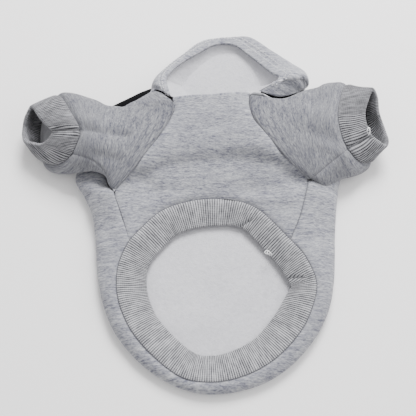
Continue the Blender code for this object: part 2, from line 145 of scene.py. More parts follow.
# Side and back raglan seams, waist band to shoulder: x, y, z of the seam and of the outline
# of the cloth outside it. The armpit, the end of the back panel and the end of the yoke are
# rows of these tables, and the rows after them run up the foot of the hood.
SHOULDER_LEFT = (
    # seam x, y,    z,    outline x, y,  z
    (-0.67, 0.414, 0.57, -0.90, 0.400, 0.26),
    (-0.733, 0.343, 0.66, -0.98, 0.325, 0.24),
    (-0.80, 0.283, 0.40, -1.055, 0.262, 0.17),
    (-0.86, 0.196, 0.30, -1.00, 0.176, 0.15),
    (-0.85, 0.105, 0.30, -0.93, 0.090, 0.14),
    (-0.77, 0.048, 0.34, -0.84, 0.022, 0.14),
    (-0.67, 0.018, 0.40, -0.735, -0.006, 0.14),
    (-0.58, -0.008, 0.43, -0.63, -0.035, 0.15),
    (-0.49, -0.044, 0.45, -0.475, -0.072, 0.17),
    (-0.43, -0.054, 0.60, -0.475, -0.072, 0.17),
    (-0.36, -0.028, 0.80, -0.475, -0.072, 0.17),
)
SHOULDER_RIGHT = (
    (0.71, 0.422, 0.57, 0.995, 0.400, 0.26),
    (0.785, 0.303, 0.69, 1.03, 0.303, 0.24),
    (0.85, 0.243, 0.42, 1.07, 0.222, 0.17),
    (0.90, 0.161, 0.30, 1.02, 0.140, 0.15),
    (0.905, 0.074, 0.31, 0.98, 0.060, 0.14),
    (0.87, -0.004, 0.33, 0.94, -0.018, 0.14),
    (0.77, -0.052, 0.38, 0.82, -0.092, 0.15),
    (0.65, -0.016, 0.57, 0.82, -0.092, 0.15),
    (0.53, 0.004, 0.76, 0.82, -0.092, 0.15),
    (0.43, -0.006, 0.93, 0.82, -0.092, 0.15),
)
ARMPIT_ROW = 1
YOKE_ROW = 3
NECK_ROW_LEFT = 8
NECK_ROW_RIGHT = 6
# Back neck seam on the table, from the left foot of the hood to the right one: x, y
BACK_NECK = (
    (-0.25, -0.058),
    (0.06, -0.048),
    (0.40, -0.052),
)

# Sections of the sleeves and cuffs, from the shoulder to the mouth. A row is a place on the
# section: angle round it from the hood side over the front, pixel of the photograph, height in mm.
SLEEVE_RINGS_LEFT = (
    ((0, 114, 107, 17), (45, 112, 122, 30), (90, 110, 140, 36), (142, 106, 172, 28),
     (180, 108, 174, 18), (225, 112, 165, 8), (270, 116, 140, 4), (315, 117, 115, 9)),
    ((0, 93, 100, 20), (45, 92, 112, 31), (90, 92, 132, 37), (142, 92, 160, 30),
     (180, 91, 170.5, 17), (225, 94, 160, 7), (270, 96, 132, 3), (315, 95, 110, 9)),
    ((0, 68, 93, 21), (45, 79, 110, 32), (90, 85, 131, 37), (142, 80, 155, 30),
     (165, 73, 168, 21), (180, 64, 173, 14), (225, 51, 168, 6), (270, 52, 135, 2.5),
     (315, 58, 110, 8)),
)
CUFF_RINGS_LEFT = (
    ((0, 59, 96, 20), (45, 72, 114, 31), (80, 79, 126.5, 34.5), (90, 79.5, 131, 33.5),
     (100, 79.5, 136, 34.5), (142, 72, 154, 27), (165, 60, 163.5, 18), (180, 50, 163.5, 12),
     (200, 42, 160, 8), (225, 40, 150, 5.5), (270, 41, 128, 3), (315, 48, 108, 9)),
    ((0, 46, 101, 22.5), (45, 58, 115, 32), (78, 66, 125.5, 34.5), (90, 68, 130.5, 31.5),
     (102, 67, 137, 33.5), (142, 60, 150, 27), (165, 48, 157, 20), (180, 38, 156, 14.5),
     (200, 32, 150, 11), (225, 29, 142, 10), (270, 31, 126, 8), (315, 38, 110, 13)),
    ((0, 33.5, 107, 24), (45, 42, 119, 30), (75, 49.5, 126.5, 32), (90, 54, 131, 28.5),
     (105, 51, 137.5, 30), (142, 43, 144, 26), (165, 33, 143.5, 22), (180, 25.5, 141, 19),
     (200, 24, 136, 17.5), (225, 24, 130, 16.5), (270, 26, 119, 17.5), (315, 29.5, 111, 20)),
)
SLEEVE_RINGS_RIGHT = (
    ((0, 310, 90, 20), (45, 306, 105, 32), (90, 308, 130, 36), (142, 318, 173.5, 28),
     (180, 323, 187, 15), (225, 318, 168, 8), (270, 312, 130, 4), (315, 310, 100, 10)),
    ((0, 325, 84.5, 22), (45, 325, 98, 32), (90, 321, 125, 37), (142, 333, 160.5, 29.5),
     (180, 339, 179, 14), (225, 336, 165, 6), (270, 330, 125, 3), (315, 328, 95, 10)),
    ((0, 337, 83, 22), (45, 334, 97, 31), (90, 331, 118, 36.5), (120, 335.5, 138, 34),
     (142, 343.5, 152.5, 30), (165, 352, 168, 20), (180, 356, 174, 13), (200, 365, 169, 8),
     (225, 366, 155, 5), (270, 358, 120, 3), (315, 350, 95, 9)),
)
CUFF_RINGS_RIGHT = (
    ((0, 345.5, 85.5, 22), (45, 340, 100, 31), (90, 338, 116, 35), (120, 341.5, 135, 32.5),
     (142, 348, 149, 28), (165, 358, 160.5, 19), (180, 366, 163, 14), (200, 370.5, 161, 10),
     (225, 371, 150, 7), (270, 366, 120, 4.5), (315, 355, 95, 11)),
    ((0, 358, 88.5, 24), (45, 353, 101, 31.5), (90, 351, 116, 33.5), (120, 354.5, 132, 31),
     (142, 361, 143, 27), (165, 369, 152.5, 20.5), (180, 375, 154.5, 17), (200, 379, 151, 14),
     (225, 378, 142, 12), (270, 372, 118, 11), (315, 364.5, 97, 16)),
    ((0, 371.5, 89.5, 26), (45, 366.5, 101, 30.5), (90, 363.5, 114, 31), (120, 366, 128, 29.5),
     (142, 371, 137, 27), (165, 378, 142.5, 24), (180, 384.5, 146, 21), (200, 387, 141, 19.5),
     (225, 384, 131, 18.5), (270, 378, 114, 19), (315, 376, 97, 22)),
)
# Upper edge of the black yoke where it shows beside the left sleeve
YOKE_WEDGE = (
    (104, 112, 5),
    (116, 105.5, 5),
    (149, 90, 5.5),
)
# Upper outline of each sleeve, cuff to neckline: pixel of the photograph, height in mm
SLEEVE_EDGE_LEFT = (
    (66, 93, 20), (80, 94.5, 21), (95, 101, 20), (110, 105, 17),
    (124, 109, 14), (137, 100, 15), (151, 89, 20), (157, 89, 24),
    (165, 95, 30), (173, 102, 33),
)
SLEEVE_EDGE_RIGHT = (
    (249, 96.5, 33), (258, 91, 32), (265, 96, 30), (272, 99.5, 27),
    (280, 100.5, 24), (287, 99.5, 21), (295, 96.5, 18), (302, 93.5, 16),
    (310, 90, 17), (325, 84.5, 20), (333, 83, 22),
)
FOOT_GAP_LEFT = 0.0007      # room between the left foot of the hood and the sleeve and yoke
FOOT_GAP_RIGHT = 0.0046     # the same at the right foot, where it stands further off
HOOD_CORNER_LEFT = (171.0, 96.5, 32.0)   # where the hem meets the neckline: pixel, height in mm
HOOD_CORNER_RIGHT = (259.0, 91.0, 33.0)
BAND_DROOP = 1.3            # how late the waist band sinks towards its free edge
WING_FULLNESS = 0.55        # how round the cloth beside the armpits is, 1 is a quarter circle
HOOD_HEART = 0.45           # middle of the hood, a share of its reach
UNDERARM_ANGLE = 142.0      # where the underarm seam sits round a section, from the hood side
TOP_ANGLE = 8.0             # where the shoulder end of the armhole sits
EDGE_SOFTNESS = 0.0006      # how softly cloth is drawn back onto an outline
EDGE_FADE = 0.006           # over what way that ends at the ends of the outline

# Rim of the hood, left foot to right foot, without the feet: x, y, z of the hem's inner edge
# and of the outline. x counts in HOOD_HALF from the middle of the hood, y in HOOD_REACH.
HOOD_MIDDLE = 0.016
HOOD_RIM = (
    # hem x, y,     z,    outline x, y, z
    (-0.77, 0.20, 0.78, -0.95, 0.36, 0.28),
    (-0.77, 0.37, 0.58, -0.79, 0.55, 0.22),
    (-0.61, 0.57, 0.40, -0.60, 0.72, 0.18),
    (-0.35, 0.76, 0.29, -0.36, 0.92, 0.15),
    (-0.15, 0.87, 0.25, -0.16, 0.98, 0.15),
    (0.08, 0.88, 0.24, 0.08, 1.00, 0.15),
    (0.25, 0.77, 0.24, 0.32, 0.99, 0.15),
    (0.43, 0.60, 0.32, 0.58, 0.81, 0.18),
    (0.58, 0.42, 0.50, 0.83, 0.62, 0.24),
    (0.66, 0.31, 0.76, 1.01, 0.46, 0.34),
    (0.62, 0.21, 0.94, 1.06, 0.36, 0.28),
)


# Curves and grids

def body_point(x, y, z):
    """A place on the body from its shares of width, length and loft."""
    return np.array((x * CHEST_HALF, -y * BODY_LENGTH, z * CHEST_LOFT))


def hood_point(x, y, z):
    """A place on the hood from its shares of width, reach and loft."""
    return np.array((HOOD_MIDDLE + x * HOOD_HALF, y * HOOD_REACH, z * HOOD_LOFT))


def spline_points(controls, values):
    """Points of a Catmull-Rom curve through the controls, at values in row numbers."""
    controls = np.asarray(controls, float)
    last = len(controls) - 1
    points = []
    for value in values:
        row = min(int(value), last - 1)
        t = value - row
        before = controls[row - 1] if row > 0 else 2 * controls[0] - controls[1]
        after = controls[row + 2] if row + 2 <= last else 2 * controls[last] - controls[last - 1]
        a, b = controls[row], controls[row + 1]
        points.append(0.5 * (2 * a + (b - before) * t
                             + (2 * before - 5 * a + 4 * b - after) * t * t
                             + (3 * a - before - 3 * b + after) * t ** 3))
    return np.array(points)


def even(points, count):
    """A run of points, with any further columns, spread evenly again with its ends kept."""
    steps = np.linalg.norm(np.diff(points[:, :3], axis=0), axis=1)
    along = np.concatenate(([0.0], np.cumsum(steps)))
    places = np.linspace(0.0, along[-1], count)
    return np.column_stack([np.interp(places, along, column) for column in points.T])


def spread(controls, count):
    """A smooth curve through the controls as count evenly spread points."""
    fine = spline_points(controls, np.linspace(0, len(controls) - 1, FINE_STEPS * len(controls)))
    return even(fine, count)


def length_of(points):
    return np.linalg.norm(np.diff(points, axis=0), axis=1).sum()


def coons(top, bottom, left, right):
    """A surface between four edges; rows run from top to bottom, columns from left to right."""
    v = np.linspace(0, 1, len(left))[:, None, None]
    u = np.linspace(0, 1, len(top))[None, :, None]
    across = (1 - u) * left[:, None, :] + u * right[:, None, :]
    down = (1 - v) * top[None, :, :] + v * bottom[None, :, :]
    corners = ((1 - v) * ((1 - u) * top[0] + u * top[-1])
               + v * ((1 - u) * bottom[0] + u * bottom[-1]))
    return across + down - corners


def pull_back(grid, first=0.0, last=0.0):
    """Draws the first and the last row of a grid back from their seams by these distances."""
    grid = grid.copy()
    for distance, edge, inner in ((first, 0, 1), (last, -1, -2)):
        step = grid[inner] - grid[edge]
        length = np.linalg.norm(step, axis=-1, keepdims=True)
        grid[edge] += step / np.maximum(length, distance + 1e-6) * distance
    return grid


def pull_back_sides(grid, first=0.0, last=0.0):
    """The same for the first and the last column."""
    return np.swapaxes(pull_back(np.swapaxes(grid, 0, 1), first, last), 0, 1)


def towards(points, target, distance):
    """Points moved level towards a target by a distance."""
    step = target - points
    step[:, 2] = 0
    return points + step / np.linalg.norm(step, axis=1, keepdims=True) * distance


def on_table(points):
    """The points moved down to the middle of cloth that lies flat."""
    points = np.array(points, float)
    points[:, 2] = FLEECE / 2
    return points


def rolled_edge(seam, outline, table, fullness):
    """Rows of cloth from a seam over its outline and under to the table."""
    rows = []
    for angle in np.linspace(0, math.pi / 2, OVER_ROWS):
        row = seam + (outline - seam) * math.sin(angle)
        row[:, 2] = outline[:, 2] + (seam[:, 2] - outline[:, 2]) * math.cos(angle) ** (1 / fullness)
        rows.append(row)
    for angle in np.linspace(0, math.pi / 2, UNDER_ROWS)[1:]:
        row = outline + (table - outline) * (1 - math.cos(angle))
        row[:, 2] = outline[:, 2] + (table[:, 2] - outline[:, 2]) * math.sin(angle)
        rows.append(row)
    return np.array(rows)


def rolled_strip(seam, outline, middle, fullness):
    """A rolled edge with one more row of cloth on the table, towards a middle."""
    table = on_table(towards(outline, middle, ROLL))
    return np.vstack((rolled_edge(seam, outline, table, fullness), towards(table, middle, ROLL)[None]))


def closed_run(points):
    """A run of points that ends where it starts."""
    return np.vstack((points, points[:1]))


# Seams shared by the pieces

def waist_seam():
    """The seam of the waist band over the chest and round the tail, both clockwise from above."""
    over = [(*body_point(x, y, z), band * RIB_WIDTH, edge * CHEST_LOFT)
            for x, y, z, band, edge in WAIST_OVER]
    under = [(*body_point(x, y, z), band * RIB_WIDTH, edge * CHEST_LOFT, *body_point(ox, oy, z / 2))
             for x, y, z, band, edge, ox, oy in WAIST_UNDER]
    return spread(over, CHEST_COLUMNS), spread(under, TAIL_STATIONS)


def shoulder_seam(rows, waist_end, outline_end, neck_row):
    """The side seam, the back raglan seam along back panel and yoke, and the foot of the hood."""
    table = [np.concatenate((waist_end, outline_end))]
    table += [np.concatenate((body_point(*row[:3]), body_point(*row[3:]))) for row in rows]
    side = spread(table[:ARMPIT_ROW + 2], SIDE_STATIONS)
    panel = spread(table[ARMPIT_ROW + 1:YOKE_ROW + 2], SIDE_STATIONS)
    yoke = spread(table[YOKE_ROW + 1:neck_row + 2], SHOULDER_STATIONS)
    foot = np.array([row[:3] for row in table[neck_row + 1:]])
    return {"side": side, "panel": panel, "yoke": yoke, "foot": foot}


SHIFT = np.array((-0.000923, 0.077732, 0.0))    # from the seams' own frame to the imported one
DOWN = np.array((0.0, 0.0, -1.0))

# Detail sizes

SEAM_CLOSE = 0.00025        # what a panel stays back from its seam
DIP_DEPTH = 0.0011          # how deep a panel dips into its seam
DIP_WIDTH = 0.0017
RIB_PITCH = 0.0018
RIB_HEIGHT = 0.00060
CUFF_RIB_HEIGHT = 0.00085
RIB_POINTS = 7              # points over one rib
THREAD_RADIUS = 0.00018
STITCH_RADIUS = 0.00030
LOOSE_THREAD_RADIUS = 0.00036
HEM_STITCH_PITCH = 0.0026
STITCH_POINTS = 8           # points from one stitch to the next, and how many of them show
STITCH_SHOWN = 6
STITCH_SINK = 0.0003
STITCH_RISE = 0.00012
NECK_TURN = 0.0016          # radius of the neckline's turned edge
NECK_TURN_ANGLE = 150.0
HEM_GROOVE = 0.0006         # groove that the hem's stitching draws, and its puckers
HEM_GROOVE_WIDTH = 0.0011
PUCKER = 0.0002
PUCKER_LENGTH = 0.0008
PUCKER_WIDTH = 0.003
UNDERARM_DIP = 0.0008
UNDERARM_DIP_WIDTH = 0.0014
RIB_PINCH = 0.62            # share of its thickness that a band loses at its seam
RIB_PINCH_WIDTH = 0.0016
RIB_ROUNDNESS = 0.6
FADE_WIDTH = 0.006          # over what way details end at a grid's last row
LINING_THICKNESS = 0.0012
LINING_OUT = 0.0015         # how far the lining starts under the hem, out and down
LINING_DOWN = 0.0018
LINING_RUN = 0.005          # how far it runs in over the floor, and more for each metre of height
LINING_SLOPE = 0.55
SLIVER_TUCK = 0.0012        # how far the slivers go under the sleeve and the hood
SLIVER_DROP = 0.0016
SLIVER_SAG = 0.0018
SEAM_LIFT = 0.0002          # how far the seam threads lie above their seams
WAIST_SEAM_LIFT = 0.0003
MERGE_DISTANCE = 0.00002
# Unevenness of the loose cloth: height in metres, seed
CHEST_RUMPLE = (0.00028, 11)
BACK_RUMPLE = (0.0003, 21)
HOOD_RUMPLE = (0.00035, 31)
LINING_RUMPLE = (0.0004, 41)
BAND_RUMPLE = (0.0003, 51)
SLEEVE_RUMPLE = 0.00034
SLEEVE_SEEDS = (60, 62)

# Hollows and folds pressed into the upper side: one end, other end, width, height, metres
CHEST_FOLDS = (
    # x,     y,      x2,     y2,    width, height
    (0.03, 0.004, 0.082, 0.008, 0.007, -0.0012),
    (0.045, 0.02, 0.076, 0.017, 0.004, 0.0009),
    (0.012, -0.002, 0.066, -0.006, 0.004, 0.0008),
    (-0.067, 0.017, -0.05, 0.01, 0.006, -0.0018),
    (-0.06, -0.002, -0.03, 0.004, 0.0035, -0.0008),
    (-0.05, -0.012, -0.015, 0.0, 0.0035, 0.0006),
    (-0.01, 0.05, 0.046, 0.058, 0.005, -0.0004),
    (-0.02, 0.03, 0.04, 0.036, 0.0045, 0.0004),
)
SLEEVE_FOLDS_LEFT = (
    (-0.106, 0.047, -0.066, 0.043, 0.0046, -0.0034),
    (-0.106, 0.056, -0.074, 0.056, 0.006, 0.001),
    (-0.104, 0.036, -0.07, 0.03, 0.006, 0.001),
    (-0.1, 0.07, -0.086, 0.06, 0.0045, 0.0006),
    (-0.088, 0.026, -0.072, 0.022, 0.004, -0.001),
)
SLEEVE_FOLDS_RIGHT = (
    (0.108, 0.036, 0.07, 0.046, 0.006, -0.0012),
    (0.112, 0.046, 0.078, 0.062, 0.007, 0.0009),
    (0.1, 0.078, 0.062, 0.073, 0.0055, -0.0007),
    (0.104, 0.028, 0.086, 0.034, 0.004, 0.0008),
)
BACK_FOLDS = (
    (-0.094, 0.0, -0.074, 0.012, 0.005, -0.0016),
    (-0.092, -0.03, -0.076, -0.026, 0.006, -0.001),
    (0.08, 0.01, 0.098, 0.004, 0.005, -0.0018),
    (0.086, -0.028, 0.1, -0.034, 0.006, -0.0008),
)
# The same as seen in the photograph: pixel, other pixel, height in mm, width, depth in metres
CHEST_HOLLOWS = (
    (298, 172, 282, 160, 28, 0.01, -0.0022),
    (165, 175, 250, 173, 30, 0.014, 0.0012),
    (270, 112, 262, 150, 33, 0.006, 0.0008),
    (132, 178, 152, 186, 26, 0.008, -0.0014),
)
HOOD_FOLDS = (
    (274, 75, 304, 76, 26, 0.0014, -0.0013),
    (274, 79, 302, 79.5, 26, 0.0022, 0.0012),
    (260, 90, 272, 84.5, 28, 0.0015, -0.0008),
    (272, 84.5, 297, 84, 26, 0.0015, -0.0009),
    (166, 76, 163, 92, 22, 0.0012, -0.0006),
)
BAND_FOLDS = (
    (238, 226, 251, 220.5, 11, 0.0012, -0.0014),
    (240, 220, 250, 216, 12, 0.003, 0.0006),
    (290, 276.5, 303, 278, 12, 0.0012, -0.0014),
    (293, 284, 300, 282, 12, 0.0028, -0.0008),
    (203, 364, 203, 355, 5, 0.0018, -0.0012),
    (146, 262, 141, 272, 9, 0.006, 0.0008),
)
CUFF_FOLDS = (
    (348, 147, 369, 137, 28, 0.0016, -0.0024),
    (352, 139, 366, 132, 29, 0.0034, 0.001),
    (358, 150, 374, 142, 25, 0.0034, 0.001),
)
# Creases of the waist band as pixels of the photograph; the dark tube along each is painted shadow
BAND_CREASE_SHADE_LINES = (
    ((238.5, 225), (244, 223.5), (250.5, 220.8)),
    ((290.5, 276.8), (296, 276.6), (302.5, 278)),
)
HOOD_SEAM = ((258.5, 91), (265, 87), (272, 84.5), (280, 83.5), (290, 84), (297, 83.5))
CUFF_SEAM_RIGHT = ((349.5, 146), (356, 142), (363, 139), (368, 137))
LINING_START = 5            # stations of the hood's rim without a lining, at each foot
HEM_STITCH = 0.0085         # from the hem's free edge to its stitching
HEM_STITCH_ROWS = (-0.0022, 0.0022)

# Loose thread ends, from the cloth outwards: pixel of the photograph, height in mm
THREAD_TAILS = (
    ((268.5, 250.5, 12), (265.5, 251, 14), (265, 253, 14.5), (267.5, 254.5, 13.5)),
    ((267, 250, 12), (269.5, 252, 15), (271.5, 254.5, 14), (269, 255.5, 12.5)),
    ((268, 251, 13), (267, 253.5, 15), (269.5, 254, 14.5), (270.5, 252, 13.5)),
    ((368.5, 135.5, 29), (367, 131.5, 31), (368.5, 127.5, 31), (370.5, 129, 30)),
    ((368, 135.5, 29), (370, 132, 31), (369, 128.5, 31.5), (367.5, 127, 30.5)),
)

TABLE_COLOUR = (0.93, 0.92, 0.92)
TABLE_HALF = 1.6
TABLE_DROP = 0.0002         # keeps the table clear of the cloth that lies on it
CAMERA_LENS = 70.0
CAMERA_ELEVATION = 68.0
CAMERA_DISTANCE = 0.647
CAMERA_TARGET = (-0.0009, -0.0052, 0.0)
SENSOR_WIDTH = 36.0
PHOTO_SIDE = 416.0          # pixels across the photograph
LIGHTS = (
    # name, place, aim, size, watts
    ("key", (0.20, 0.90, 1.00), (0.0, 0.0, 0.0), 0.6, 37.0),
    ("fill", (0.95, 0.10, 0.90), (0.0, 0.0, 0.0), 0.8, 6.0),
)
WORLD_COLOUR = (1.0, 1.0, 1.0)
WORLD_STRENGTH = 0.92


# Places in the photograph

ELEVATION = math.radians(CAMERA_ELEVATION)
AWAY = np.array((0.0, -math.cos(ELEVATION), math.sin(ELEVATION)))
SCREEN_UP = np.array((0.0, math.sin(ELEVATION), math.cos(ELEVATION)))
EYE = np.array(CAMERA_TARGET) + AWAY * CAMERA_DISTANCE


def seen_at(pixel_x, pixel_y, height):
    """The place that the photograph shows at a pixel, at a height in mm, in the seams' frame."""
    half = PHOTO_SIDE / 2
    aside = SENSOR_WIDTH / 2 / CAMERA_LENS / half
    ray = (pixel_y - half) * -aside * SCREEN_UP - AWAY
    ray[0] = (pixel_x - half) * aside
    return EYE + ray * (height / 1000 - EYE[2]) / ray[2] - SHIFT


def ring_through(rows, angles):
    """A closed section through places of the photograph, at these angles round it."""
    places = np.array([seen_at(*row[1:]) for row in rows])
    marks = [row[0] for row in rows] + [360.0]
    values = np.interp(np.degrees(angles) % 360.0, marks, np.arange(len(marks)))
    return spline_points(np.concatenate((places[-2:], places, places[:3])), values + 2)


def held_under(grid, edge):
    """The grid with all that stands past an outline of the photograph drawn back onto it."""
    line = np.array(sorted(tuple(seen_at(*row)) for row in edge))
    x = grid[..., 0]
    past = ((grid[..., 1] - np.interp(x, line[:, 0], line[:, 1])) * SCREEN_UP[1]
            + (grid[..., 2] - np.interp(x, line[:, 0], line[:, 2])) * SCREEN_UP[2])
    outside = np.maximum(line[0, 0] - x, x - line[-1, 0])
    share = np.clip(1 - outside / EDGE_FADE, 0, 1)
    back = EDGE_SOFTNESS * np.log1p(np.exp(np.clip(past / EDGE_SOFTNESS, -40, 40)))
    return grid - (share * back)[..., None] * SCREEN_UP


# Fields on grids

def refined(grid, rows, columns, closed=False):
    """The grid carried by smooth curves onto more rows and columns."""
    fine = spline_points(grid, np.linspace(0, len(grid) - 1, rows))
    turned = np.swapaxes(fine, 0, 1)
    if closed:
        count = len(turned)
        turned = np.concatenate((turned[-2:], turned, turned[:3]))
        values = 2 + np.arange(columns) * count / columns
    else:
        values = np.linspace(0, len(turned) - 1, columns)
    return np.swapaxes(spline_points(turned, values), 0, 1)


def normals_of(grid, closed=False):
    """Unit normals of a grid."""
    down = np.gradient(grid, axis=0)
    if closed:
        wide = np.concatenate((grid[:, -1:], grid, grid[:, :1]), axis=1)
        across = np.gradient(wide, axis=1)[:, 1:-1]
    else:
        across = np.gradient(grid, axis=1)
    normal = np.cross(across, down)
    return normal / np.maximum(np.linalg.norm(normal, axis=-1, keepdims=True), 1e-12)


def normals_up(grid, row=0):
    """Unit normals of an open grid, turned so that they point up in the middle of a row."""
    normal = normals_of(grid)
    return normal * math.copysign(1.0, normal[row, grid.shape[1] // 2, 2])


def points_in(grid, normal):
    """Whether the normals of a tube point to its middle line."""
    return ((grid - grid.mean(axis=1, keepdims=True)) * normal).sum() < 0


def from_edge(grid, axis, far=False):
    """Distance of each point from the first or last row or column, along the cloth."""
    run = np.flip(grid, axis) if far else grid
    steps = np.linalg.norm(np.diff(run, axis=axis), axis=-1)
    zero = np.zeros_like(np.take(steps, [0], axis=axis))
    total = np.concatenate((zero, np.cumsum(steps, axis=axis)), axis=axis)
    return np.flip(total, axis) if far else total


def bell(distance, width, power=2.0):
    """1 at no distance, and softly down to nothing over a width."""
    return np.exp(-np.abs(distance / width) ** power)


def dip(distance, depth=DIP_DEPTH, width=DIP_WIDTH):
    """How far cloth sinks towards a seam at this distance."""
    return -depth * bell(distance, width, 1.5)


def fading(grid):
    """0 at the last row of a grid, 1 from a little way before it."""
    return np.clip(from_edge(grid, 0, True) / FADE_WIDTH, 0, 1)


def soft_noise(u, v, cell_u, cell_v, seed):
    """Smooth noise between -1 and 1 over two coordinates."""
    cells = 61
    table = np.random.default_rng(seed).uniform(-1, 1, (cells, cells))
    x, y = u / cell_u + cells // 2, v / cell_v + cells // 2
    i, j = np.floor(x).astype(int), np.floor(y).astype(int)
    s, t = x - i, y - j
    s, t = s * s * (3 - 2 * s), t * t * (3 - 2 * t)
    i, j, k, m = i % cells, j % cells, (i + 1) % cells, (j + 1) % cells
    return ((1 - s) * (1 - t) * table[i, j] + s * (1 - t) * table[k, j]
            + (1 - s) * t * table[i, m] + s * t * table[k, m])


def pressed(grid, folds, facing):
    """Height of the folds at each point, only where the cloth faces up."""
    total = np.zeros(grid.shape[:2])
    place = grid[..., :2] + SHIFT[:2]
    for x, y, x2, y2, width, height in folds:
        a, b = np.array((x, y)), np.array((x2, y2))
        along = np.clip(((place - a) @ (b - a)) / ((b - a) @ (b - a)), 0, 1)
        distance = np.linalg.norm(place - a - along[..., None] * (b - a), axis=-1)
        total += height * bell(distance, width)
    return total * np.clip(facing * 2.5, 0, 1)


def seen_folds(rows):
    """Folds given by two pixels, a height in mm, a width and a depth, as folds on the cloth."""
    folds = []
    for x, y, x2, y2, height, width, depth in rows:
        a, b = seen_at(x, y, height) + SHIFT, seen_at(x2, y2, height) + SHIFT
        folds.append((a[0], a[1], b[0], b[1], width, depth))
    return folds


def laid_on(grid, normal, pixels, lift, count=40, neighbours=6):
    """A line of the photograph as points on the cloth, lifted off it."""
    line = even(np.column_stack((np.array(pixels, float), np.zeros(len(pixels)))), count)[:, :2]
    facing = (normal @ AWAY) > 0.1
    points, normals = grid[facing], normal[facing]
    ray = points + SHIFT - EYE
    scale = -PHOTO_SIDE / SENSOR_WIDTH * CAMERA_LENS / (ray @ AWAY)
    seen = np.column_stack((PHOTO_SIDE / 2 + ray[:, 0] * scale, PHOTO_SIDE / 2 - ray @ SCREEN_UP * scale))
    path = []
    for place in line:
        distance = np.linalg.norm(seen - place, axis=1)
        near = np.argsort(distance, kind="stable")[:neighbours]
        weight = 1 / (distance[near] + 0.2)
        path.append((weight[:, None] * (points[near] + normals[near] * lift)).sum(axis=0) / weight.sum())
    path = np.array(path)
    path[1:-1] = (path[:-2] + 2 * path[1:-1] + path[2:]) / 4
    return path


def moved(grid, normal, amount):
    return grid + normal * amount[..., None]


def flat_map(grid):
    """Cloth coordinates that run left-right and front-back."""
    return grid[..., :2].copy()


def wrapped_map(grid, closed=True):
    """Cloth coordinates round and along a tube or loop."""
    loop = np.concatenate((grid, grid[:, :1]), axis=1) if closed else grid
    round_way = from_edge(loop, 1).mean(axis=0)[None, :] * np.ones((len(grid), 1))
    along = from_edge(loop, 0).mean(axis=1)[:, None] * np.ones((1, loop.shape[1]))
    return np.stack((round_way, along), axis=-1)


# Meshes

def quads_of(rows, columns, closed, closed_rows=False, start=0):
    r = np.arange(rows if closed_rows else rows - 1)[:, None]
    c = np.arange(columns if closed else columns - 1)[None, :]
    below, beside = (r + 1) % rows, (c + 1) % columns
    quads = np.stack((r * columns + c, r * columns + beside, below * columns + beside,
                      below * columns + c), axis=-1)
    return quads.reshape(-1, 4) + start


def quad_map(uv, rows, columns, closed, closed_rows=False):
    r = np.arange(rows if closed_rows else rows - 1)[:, None]
    c = np.arange(columns if closed else columns - 1)[None, :]
    below = np.minimum(r + 1, len(uv) - 1)
    beside = np.minimum(c + 1, uv.shape[1] - 1)
    corners = np.stack((uv[r, c], uv[r, beside], uv[below, beside], uv[below, c]), axis=2)
    return corners.reshape(-1, 4, 2)


class Cloth:
    """Grids of points gathered into one mesh, with a cloth map and material numbers."""

    def __init__(self):
        self.points, self.quads, self.maps, self.slots, self.count = [], [], [], [], 0

    def add(self, grid, uv, outward=None, closed=False, closed_rows=False, slot=0):
        rows, columns = grid.shape[:2]
        quads = quads_of(rows, columns, closed, closed_rows, self.count)
        maps = quad_map(uv, rows, columns, closed, closed_rows)
        if outward is not None and (normals_of(grid, closed) * outward).sum() < 0:
            quads, maps = quads[:, ::-1], maps[:, ::-1]
        self.points.append(grid.reshape(-1, 3))
        self.quads.append(quads)
        self.maps.append(maps)
        self.slots.append(np.full(len(quads), slot))
        self.count += rows * columns
        return self

    def piece(self, name, materials, thickness=None, merge=False):
        points = np.vstack(self.points) + SHIFT
        quads, maps = np.vstack(self.quads), np.vstack(self.maps)
        mesh = bpy.data.meshes.new(name)
        mesh.from_pydata(points.tolist(), [], quads.tolist())
        layer = mesh.uv_layers.new(name="cloth_map")
        layer.data.foreach_set("uv", maps.reshape(-1).astype(np.float32))
        mesh.polygons.foreach_set("material_index", np.concatenate(self.slots).astype(np.int32))
        for material in materials:
            mesh.materials.append(material)
        if merge:
            bm = bmesh.new()
            bm.from_mesh(mesh)
            bmesh.ops.remove_doubles(bm, verts=bm.verts, dist=MERGE_DISTANCE)
            bm.to_mesh(mesh)
            bm.free()
        mesh.shade_smooth()
        piece = bpy.data.objects.new(name, mesh)
        bpy.context.scene.collection.objects.link(piece)
        if thickness:
            shell = piece.modifiers.new("cloth", "SOLIDIFY")
            shell.thickness = thickness
            shell.offset = 0.0
            shell.material_offset = 1
            shell.material_offset_rim = 0
        return piece


def tube_grid(path, radius, sides=6, taper=0.0):
    """A round thread along a path as a closed grid."""
    path = np.asarray(path, float)
    ahead = np.gradient(path, axis=0)
    ahead /= np.maximum(np.linalg.norm(ahead, axis=1, keepdims=True), 1e-12)
    up = np.tile((0.0, 0.0, 1.0), (len(path), 1))
    up[np.abs(ahead[:, 2]) > 0.9] = (0.0, 1.0, 0.0)
    side = np.cross(ahead, up)
    side /= np.linalg.norm(side, axis=1, keepdims=True)
    lift = np.cross(side, ahead)
    angles = np.linspace(0, 2 * math.pi, sides, endpoint=False)
    size = radius * np.ones(len(path))
    size[[0, -1]] *= 1 - taper
    ring = np.cos(angles)[None, :, None] * side[:, None] + np.sin(angles)[None, :, None] * lift[:, None]
    return path[:, None] + ring * size[:, None, None]


# Materials

